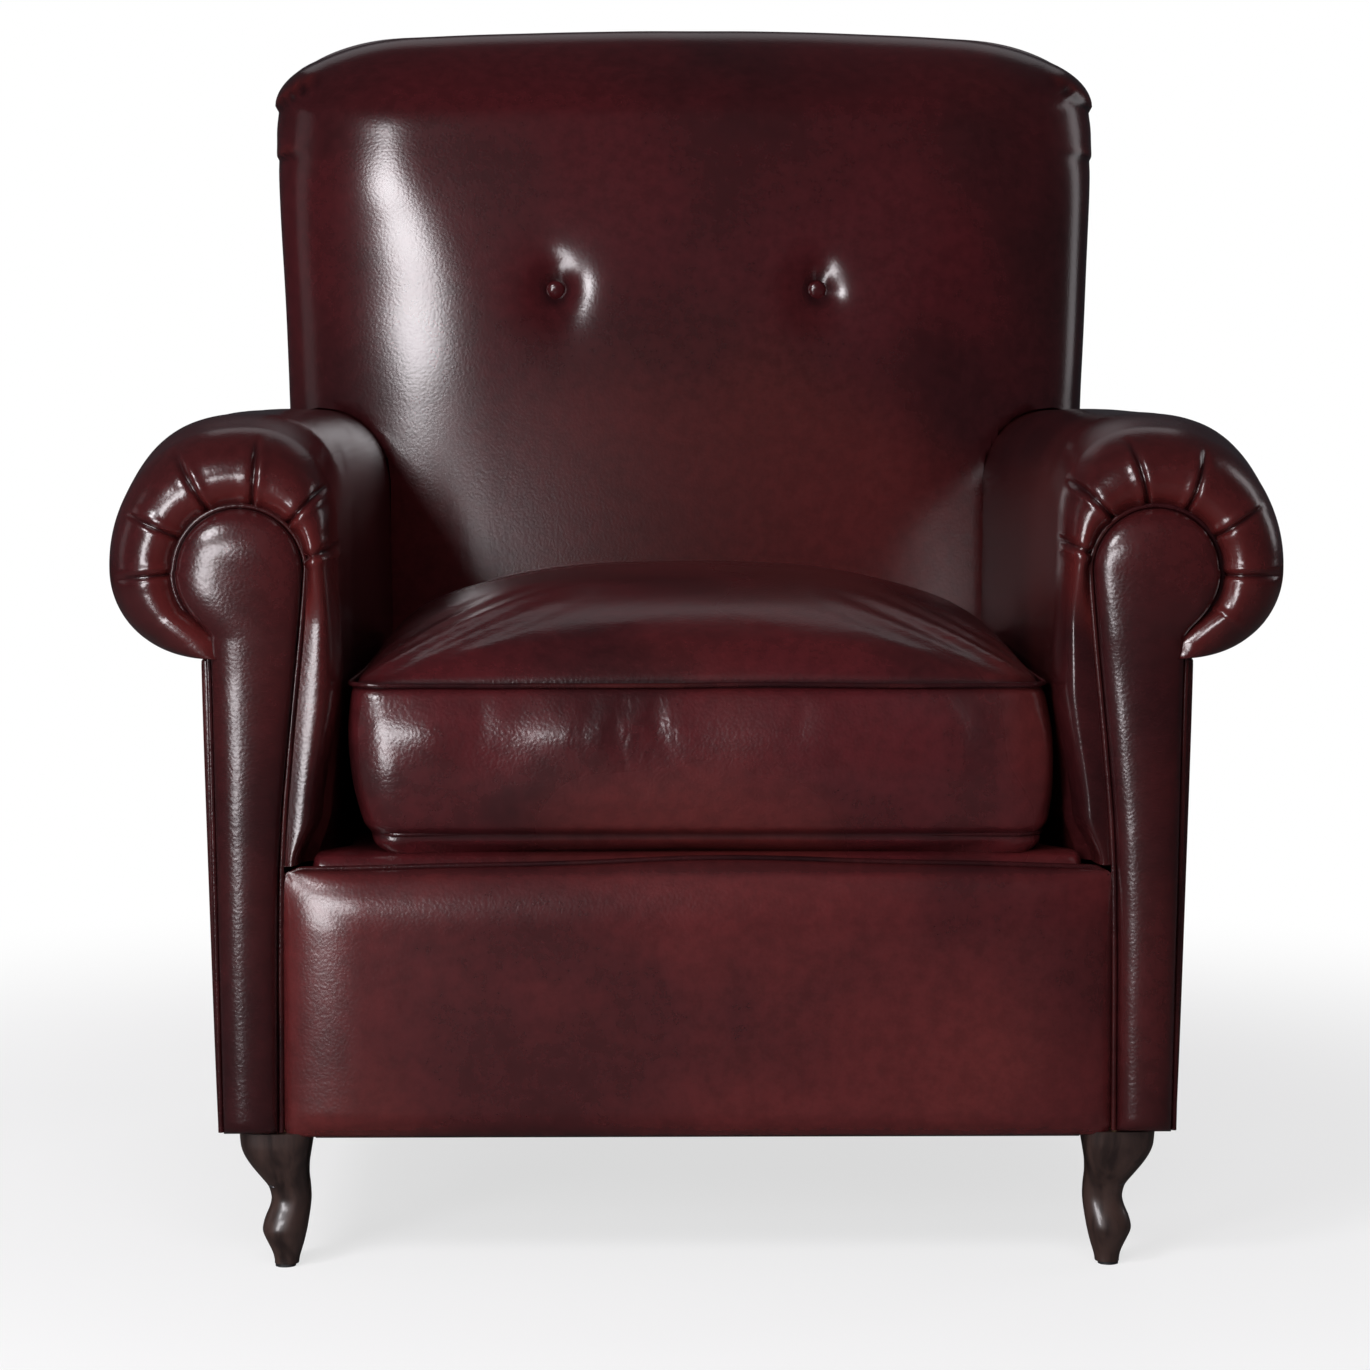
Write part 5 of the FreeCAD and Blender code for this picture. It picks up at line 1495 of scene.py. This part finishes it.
@dataclass
class SeatFront:
    """The padded front border with its piping, and the leather deck behind it."""

    half: float = 0.2996
    low: float = 0.1008
    high: float = 0.2956
    behind: float = -0.4190
    crown: float = 0.0160
    corner: float = 0.009
    soft: float = 0.060
    deck_half: float = 0.2572
    deck: float = 0.3070

    @staticmethod
    def edge_wave(x: Array) -> Array:
        """How far the border's top edge rises above its ends."""
        return 0.0062 * smooth_step(-np.abs(x - 0.03), -0.26, -0.02) + 0.0007 * np.sin(x * 31 + 1.0)

    def build_border(self) -> None:
        """Make the padded border under the cushion."""
        piece, across, up = grid("front_border_leather", 190, 90)
        u = -np.cos(across * math.pi) * 0.6 + (2 * across - 1) * 0.4
        v = -np.cos(up * math.pi) * 0.6 + (2 * up - 1) * 0.4
        middle = (self.low + self.high) / 2
        tall = (self.high - self.low) / 2
        x, z = self.half * u, tall * v
        over_x = np.maximum(np.abs(x) - self.half + self.corner, 0)
        over_z = np.maximum(np.abs(z) - tall + self.corner, 0)
        scale = np.maximum(over_x, over_z) / np.maximum(np.hypot(over_x, over_z), 1e-9)
        x = x - np.sign(x) * over_x * (1 - scale) * (over_z > 0)
        z = z - np.sign(z) * over_z * (1 - scale) * (over_x > 0)
        rise = (1 - (1 - np.clip((1 - np.abs(u)) * self.half / self.soft, 0, 1)) ** 2) ** 0.66
        lift = np.where(v > 0, self.soft * 0.75, self.soft * 0.35)
        rise *= (1 - (1 - np.clip((1 - np.abs(v)) * tall / lift, 0, 1)) ** 2) ** 0.66
        bow = 0.0025 * (1 - u ** 4) * (1 - v ** 2)
        z = z + self.edge_wave(x) * np.clip(v, 0, 1) ** 2
        y = self.behind - 0.0035 - self.crown * rise - bow
        put_points(piece, stack(x, y, middle + z))
        close_behind(piece, self.behind)
        points = points_of(piece)
        front = smooth_step(-points[:, 1], 0.426, 0.432)
        push(piece, front * 0.0008 * ripple(points, 15, 53))
        # Painted shade along the border's sides and top edge
        edge = np.maximum(smooth_step(np.abs(points[:, 0]), self.half - 0.006, self.half),
                          smooth_step(points[:, 2], self.high - 0.006, self.high))
        paint(piece, 0.6 * edge)
        dress(piece, Finish.BORDER, Body.CHAIR,
              ("front_border_cover", "front_border_pad"))

    def build_piping(self) -> None:
        """Run the piping along the border's top and over its round corners."""
        radius = 0.015
        turn = np.linspace(0, math.pi / 2, 12)
        reach = self.half - 0.0015 - radius
        x = np.concatenate([reach + radius * np.cos(turn), -reach - radius * np.sin(turn)])
        z = self.high + 0.0012 - radius + radius * np.concatenate([np.sin(turn), np.cos(turn)])
        path = spaced(stack(x, -0.4215, z), 0.005, closed=False)
        share = smooth_step(path[:, 2], self.high - 0.012, self.high)
        path[:, 2] += self.edge_wave(path[:, 0]) * share
        piece = cord_round("front_border_cord", path, 0.0020, closed=False)
        dress(piece, Finish.PIPING, Body.CHAIR, ("front_border_piping",))

    def build_deck(self) -> None:
        """Make the stuffed leather deck that the cushion lies on, rolled over the front rail."""
        piece, share = cube("seat_deck_leather", (50, 70, 6))
        a, b, c = share.T
        straight, normal = rounded(share, 0.14, 0.14, 0.14)
        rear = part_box("platform_cover")[1].y
        edge = 0.0075
        x = bent(straight[0], normal[0], -self.deck_half, self.deck_half, (edge, edge))
        y = bent(straight[1], normal[1], -0.4165, rear, (0.020, edge))
        z = bent(straight[2], normal[2], self.deck - 0.0220, self.deck - 0.0002, (edge, 0.0130))
        x = x * (1 + 0.088 * smooth_step(-y, 0.36, 0.405))
        dip = 0.004 * (1 - a ** 2) * (1 - b ** 2) * smooth_step(c, 0.0, 1.0)
        put_points(piece, stack(x, y, z - dip))
        tidy_mesh(piece)
        dress(piece, Finish.SEAT, Body.CHAIR,
              ("platform_cover", "seat_pad", "front_edge_roll"))

    def build_dust_cover(self) -> None:
        """Make the cloth that closes the underside, cut away round the legs."""
        piece, across, along = grid("dust_cloth", 48, 48)
        low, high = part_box("dust_cover")
        notch = 0.061
        ties = (0, 1 / 8, 7 / 8, 1)
        x = np.interp(across, ties, (low.x, low.x + notch, high.x - notch, high.x))
        y = np.interp(along, ties, (low.y, low.y + notch, high.y - notch, high.y))
        sag = 0.004 * np.sin(across * math.pi) * np.sin(along * math.pi)
        put_points(piece, stack(x, y, high.z - 0.0002 - sag))
        corner = []
        for face in piece.data.polygons:
            centre = face.center
            outer_x = abs(centre.x) > high.x - notch
            outer_y = not low.y + notch < centre.y < high.y - notch
            corner.append(outer_x and outer_y)
        with editing_only(piece, "FACE", corner):
            bpy.ops.mesh.delete(type="FACE")
        apply_modifier(piece, "SOLIDIFY", thickness=0.0008)
        tidy_mesh(piece)
        dress(piece, Finish.DUST_CLOTH, Body.CHAIR, ("dust_cover",))

    def build(self) -> None:
        """Make every piece of the seat's front and deck."""
        self.build_border()
        self.build_piping()
        self.build_deck()
        self.build_dust_cover()


@dataclass
class Legs:
    """Cabriole legs in front and raked square legs behind.

    The profile gives the front legs' height, width, shift along the diagonal and roundness.
    """

    top: float = 0.1038
    foot: float = 0.0020
    front_x: float = 0.3085
    front_y: float = -0.4025
    rear_x: float = 0.320
    profile: tuple[tuple[float, float, float, float], ...] = (
        (0.0020, 0.0176, 0.0078, 0.80), (0.0060, 0.0180, 0.0080, 0.80),
        (0.0120, 0.0220, 0.0080, 0.85), (0.0180, 0.0268, 0.0074, 0.90),
        (0.0271, 0.0330, 0.0065, 0.90), (0.0357, 0.0325, 0.0082, 0.90),
        (0.0430, 0.0300, 0.0104, 0.85), (0.0500, 0.0288, 0.0116, 0.80),
        (0.0594, 0.0304, 0.0104, 0.75), (0.0680, 0.0356, 0.0070, 0.70),
        (0.0774, 0.0424, 0.0040, 0.65), (0.0850, 0.0478, 0.0026, 0.60),
        (0.0918, 0.0512, 0.0020, 0.55), (0.1038, 0.0540, 0.0026, 0.50))

    def build_front(self, side: Side) -> None:
        """Make a cabriole leg: knee, ankle and toe, drawn in along its diagonal."""
        piece, around, up = grid(f"front_{side.word}_cabriole", 56, 76)
        heights, widths, shifts, squares = np.array(self.profile).T
        part = np.clip((up - 0.05) / 0.90, 0, 1)
        z = self.foot + (self.top - self.foot) * part
        width = smooth_table(z, heights, widths)
        shift = smooth_table(z, heights, shifts)
        power = np.interp(z, heights, squares)
        cap = np.clip(np.minimum(up / 0.05, (1 - up) / 0.05), 0, 1)
        angle = around * 2 * math.pi
        rim_x = np.sign(np.cos(angle)) * np.abs(np.cos(angle)) ** power
        rim_y = np.sign(np.sin(angle)) * np.abs(np.sin(angle)) ** power
        x = self.front_x - shift + width / 2 * rim_x * cap
        y = self.front_y + shift + width / 2 * rim_y * cap
        put_points(piece, stack(x * side.value, y, z))
        tidy_mesh(piece, 75)
        dress(piece, Finish.LEG, Body.CHAIR, (f"front_{side.word}_leg",))

    def build_rear(self, side: Side) -> None:
        """Make a square leg that tapers and rakes back."""
        piece, share = cube(f"rear_{side.word}_raked_leg", (10, 10, 24))
        low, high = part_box(f"rear_{side.word}_leg")
        straight, normal = rounded(share, 0.3, 0.3, 0.06)
        edge = 0.0028
        z = bent(straight[2], normal[2], low.z, high.z - 0.0002, (edge, edge))
        up = (z - low.z) / (high.z - low.z)
        centre_y = np.interp(up, (0, 1), (0.3187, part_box("right_back_post")[0].y + 0.025))
        half_x = np.interp(up, (0, 1), (0.014, 0.0199))
        half_y = np.interp(up, (0, 1), (0.014, 0.0249))
        x = self.rear_x + bent(straight[0], normal[0], -half_x, half_x, (edge, edge))
        y = centre_y + bent(straight[1], normal[1], -half_y, half_y, (edge, edge))
        put_points(piece, stack(x * side.value, y, z))
        tidy_mesh(piece, 35)
        dress(piece, Finish.LEG, Body.CHAIR, (f"rear_{side.word}_leg",))

    def build(self) -> None:
        """Make the four legs."""
        for side in Side:
            self.build_front(side)
            self.build_rear(side)


def finish_frame_nodes() -> None:
    """Give each of the frame's own nodes that stays its finish."""
    finishes = {
        "wood_frame": Finish.FRAME, "leg_wood": Finish.LEG, "steel": Finish.STEEL,
        "spring_steel": Finish.SPRING, "glide_plastic": Finish.GLIDE, "webbing": Finish.WEBBING,
        "hessian": Finish.HESSIAN, "padding": Finish.PADDING, "platform_cloth": Finish.SEAT,
        "dust_cloth": Finish.DUST_CLOTH, "twine": Finish.TWINE, "oxblood_leather": Finish.ARM,
        "leather_piping": Finish.PIPING, "zip_tape": Finish.ZIP_TAPE, "zip_brass": Finish.BRASS,
    }
    for name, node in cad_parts.items():
        for place in node.material_slots:
            slot = place.material.name.split(".")[0]
            finish = finishes.get(slot)
            if finish is None:
                raise RuntimeError(f"{name} has a slot without a finish: {slot}")
            place.material = finish.shade


@dataclass
class Studio:
    """Pale floor, soft lamps and the camera."""

    floor_size: float = 24.0
    camera_place: Point = (-0.0436, -3.0485, 0.6570)
    camera_pitch: float = -4.973
    camera_yaw: float = 0.744
    lens: float = 96.74
    world_level: float = 0.20
    mirror_level: float = 0.05

    def build_floor(self) -> None:
        """Lay a pale floor that fades to white away from the chair."""
        deselect()
        bpy.ops.mesh.primitive_plane_add(size=self.floor_size)
        floor = bpy.context.object
        floor.name = "floor"
        material, nodes, shader = new_material("pale_floor")
        nodes.feed(shader, {"Base Color": (0.80, 0.80, 0.80), "Roughness": 0.9,
                            "Specular IOR Level": 0.1})
        where = nodes.add("TexCoord").outputs["Object"]
        distance = nodes.add("VectorMath", {0: where}, operation="LENGTH").outputs["Value"]
        far = nodes.ramp(distance, 0.55, 1.5, 0.68, 1.0)
        seen = nodes.add("LightPath").outputs["Is Camera Ray"]
        share = nodes.maths("MULTIPLY", far, seen)
        glow = nodes.add("Emission", {"Color": (1.0, 1.0, 1.0), "Strength": 1.0}).outputs[0]
        lit = nodes.add("MixShader", {0: share, 1: shader.outputs[0], 2: glow})
        dim = nodes.add("BsdfDiffuse", {"Color": (0.08, 0.08, 0.08)}).outputs[0]
        mirrored = nodes.add("LightPath").outputs["Is Glossy Ray"]
        mix = nodes.add("MixShader", {0: mirrored, 1: lit.outputs[0], 2: dim})
        nodes.feed(material.node_tree.nodes["Material Output"], {"Surface": mix.outputs[0]})
        floor.data.materials.append(material)

    def build_world(self) -> None:
        """Light the room evenly and show it white behind the chair."""
        world = bpy.data.worlds.new("studio")
        bpy.context.scene.world = world
        world.use_nodes = True
        nodes = Nodes(world.node_tree)
        nodes.tree.nodes.clear()
        room, dim, white = (
            nodes.add("Background", {"Color": colour, "Strength": strength})
            for colour, strength in ((linear(236, 236, 244), self.world_level),
                                     (linear(222, 222, 236), self.mirror_level),
                                     ((1.0, 1.0, 1.0), 1.0)))
        path = nodes.add("LightPath")
        around = nodes.add("MixShader", {0: path.outputs["Is Glossy Ray"], 1: room.outputs[0],
                                         2: dim.outputs[0]})
        seen = nodes.maths("MAXIMUM", path.outputs["Is Camera Ray"],
                           path.outputs["Is Transmission Ray"])
        mix = nodes.add("MixShader", {0: seen, 1: around.outputs[0], 2: white.outputs[0]})
        nodes.add("OutputWorld", {"Surface": mix.outputs[0]})

    def add_lamp(self, name: str, place: Point, aim: Point,
                 size: tuple[float, float], power: float, roll: float = 0.0) -> bpy.types.Object:
        """Hang a soft box.

        Args:
            name: The lamp's name.
            place: Where it hangs.
            aim: The point that it faces.
            size: Its width and height.
            power: Its power in watts.
            roll: How far it leans in its own plane, in degrees.

        Returns:
            The lamp.
        """
        lamp = bpy.data.lights.new(name, "AREA")
        lamp.shape = "RECTANGLE"
        lamp.size, lamp.size_y = size
        lamp.energy = power
        lamp.color = (1.0, 0.97, 1.0)
        holder = bpy.data.objects.new(name, lamp)
        holder.location = place
        turn = (Vector(aim) - Vector(place)).to_track_quat("-Z", "Y")
        holder.rotation_euler = (turn @ Quaternion((0, 0, 1), math.radians(roll))).to_euler()
        bpy.context.scene.collection.objects.link(holder)
        return holder

    def build_lamps(self) -> None:
        """Hang the big soft box at the left and the weak ones that fill in."""
        chair = (0.0, 0.0, 0.5)
        self.add_lamp("key", (-1.63, -2.27, 2.10), (-0.25, 0.2, 0.80), (0.68, 0.74), 44, roll=40)
        self.add_lamp("strip", (-1.45, -2.55, 0.66), (-0.2, -0.3, 0.40), (0.60, 1.20), 38)
        self.add_lamp("window", (-1.0, -2.8, 1.1), (-0.2, -0.4, 0.40), (0.60, 0.50), 14)
        self.add_lamp("side", (-3.0, 0.2, 1.3), chair, (0.8, 1.6), 1.5)
        self.add_lamp("rim", (2.6, 0.8, 1.6), chair, (0.6, 1.8), 6)
        self.add_lamp("behind", (0.0, 1.9, 2.3), chair, (2.2, 0.8), 2)
        fills = (self.add_lamp("fill", (0.3, -3.0, 2.4), chair, (1.5, 1.0), 26),
                 self.add_lamp("rear_fill", (0.4, 3.4, 1.5), chair, (1.8, 1.2), 40))
        for lamp in fills:
            lamp.visible_glossy = False

    def build_camera(self) -> None:
        """Set the camera up where the photograph was taken from."""
        lens = bpy.data.cameras.new("camera")
        lens.lens = self.lens
        lens.sensor_width = 36
        holder = bpy.data.objects.new("camera", lens)
        holder.location = self.camera_place
        holder.rotation_euler = (math.radians(90 + self.camera_pitch), 0,
                                 math.radians(-self.camera_yaw))
        bpy.context.scene.collection.objects.link(holder)
        bpy.context.scene.camera = holder

    def build(self) -> None:
        """Set up the whole studio."""
        bpy.context.scene.view_settings.view_transform = "Standard"
        self.build_floor()
        self.build_world()
        self.build_lamps()
        self.build_camera()


def main() -> None:
    """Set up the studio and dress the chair."""
    Studio().build()
    finish_frame_nodes()
    for side in Side:
        ScrollArm(side).build()
    TuftedBack().build()
    SeatCushion().build()
    SeatFront().build()
    Legs().build()


if __name__ == "__main__":
    main()
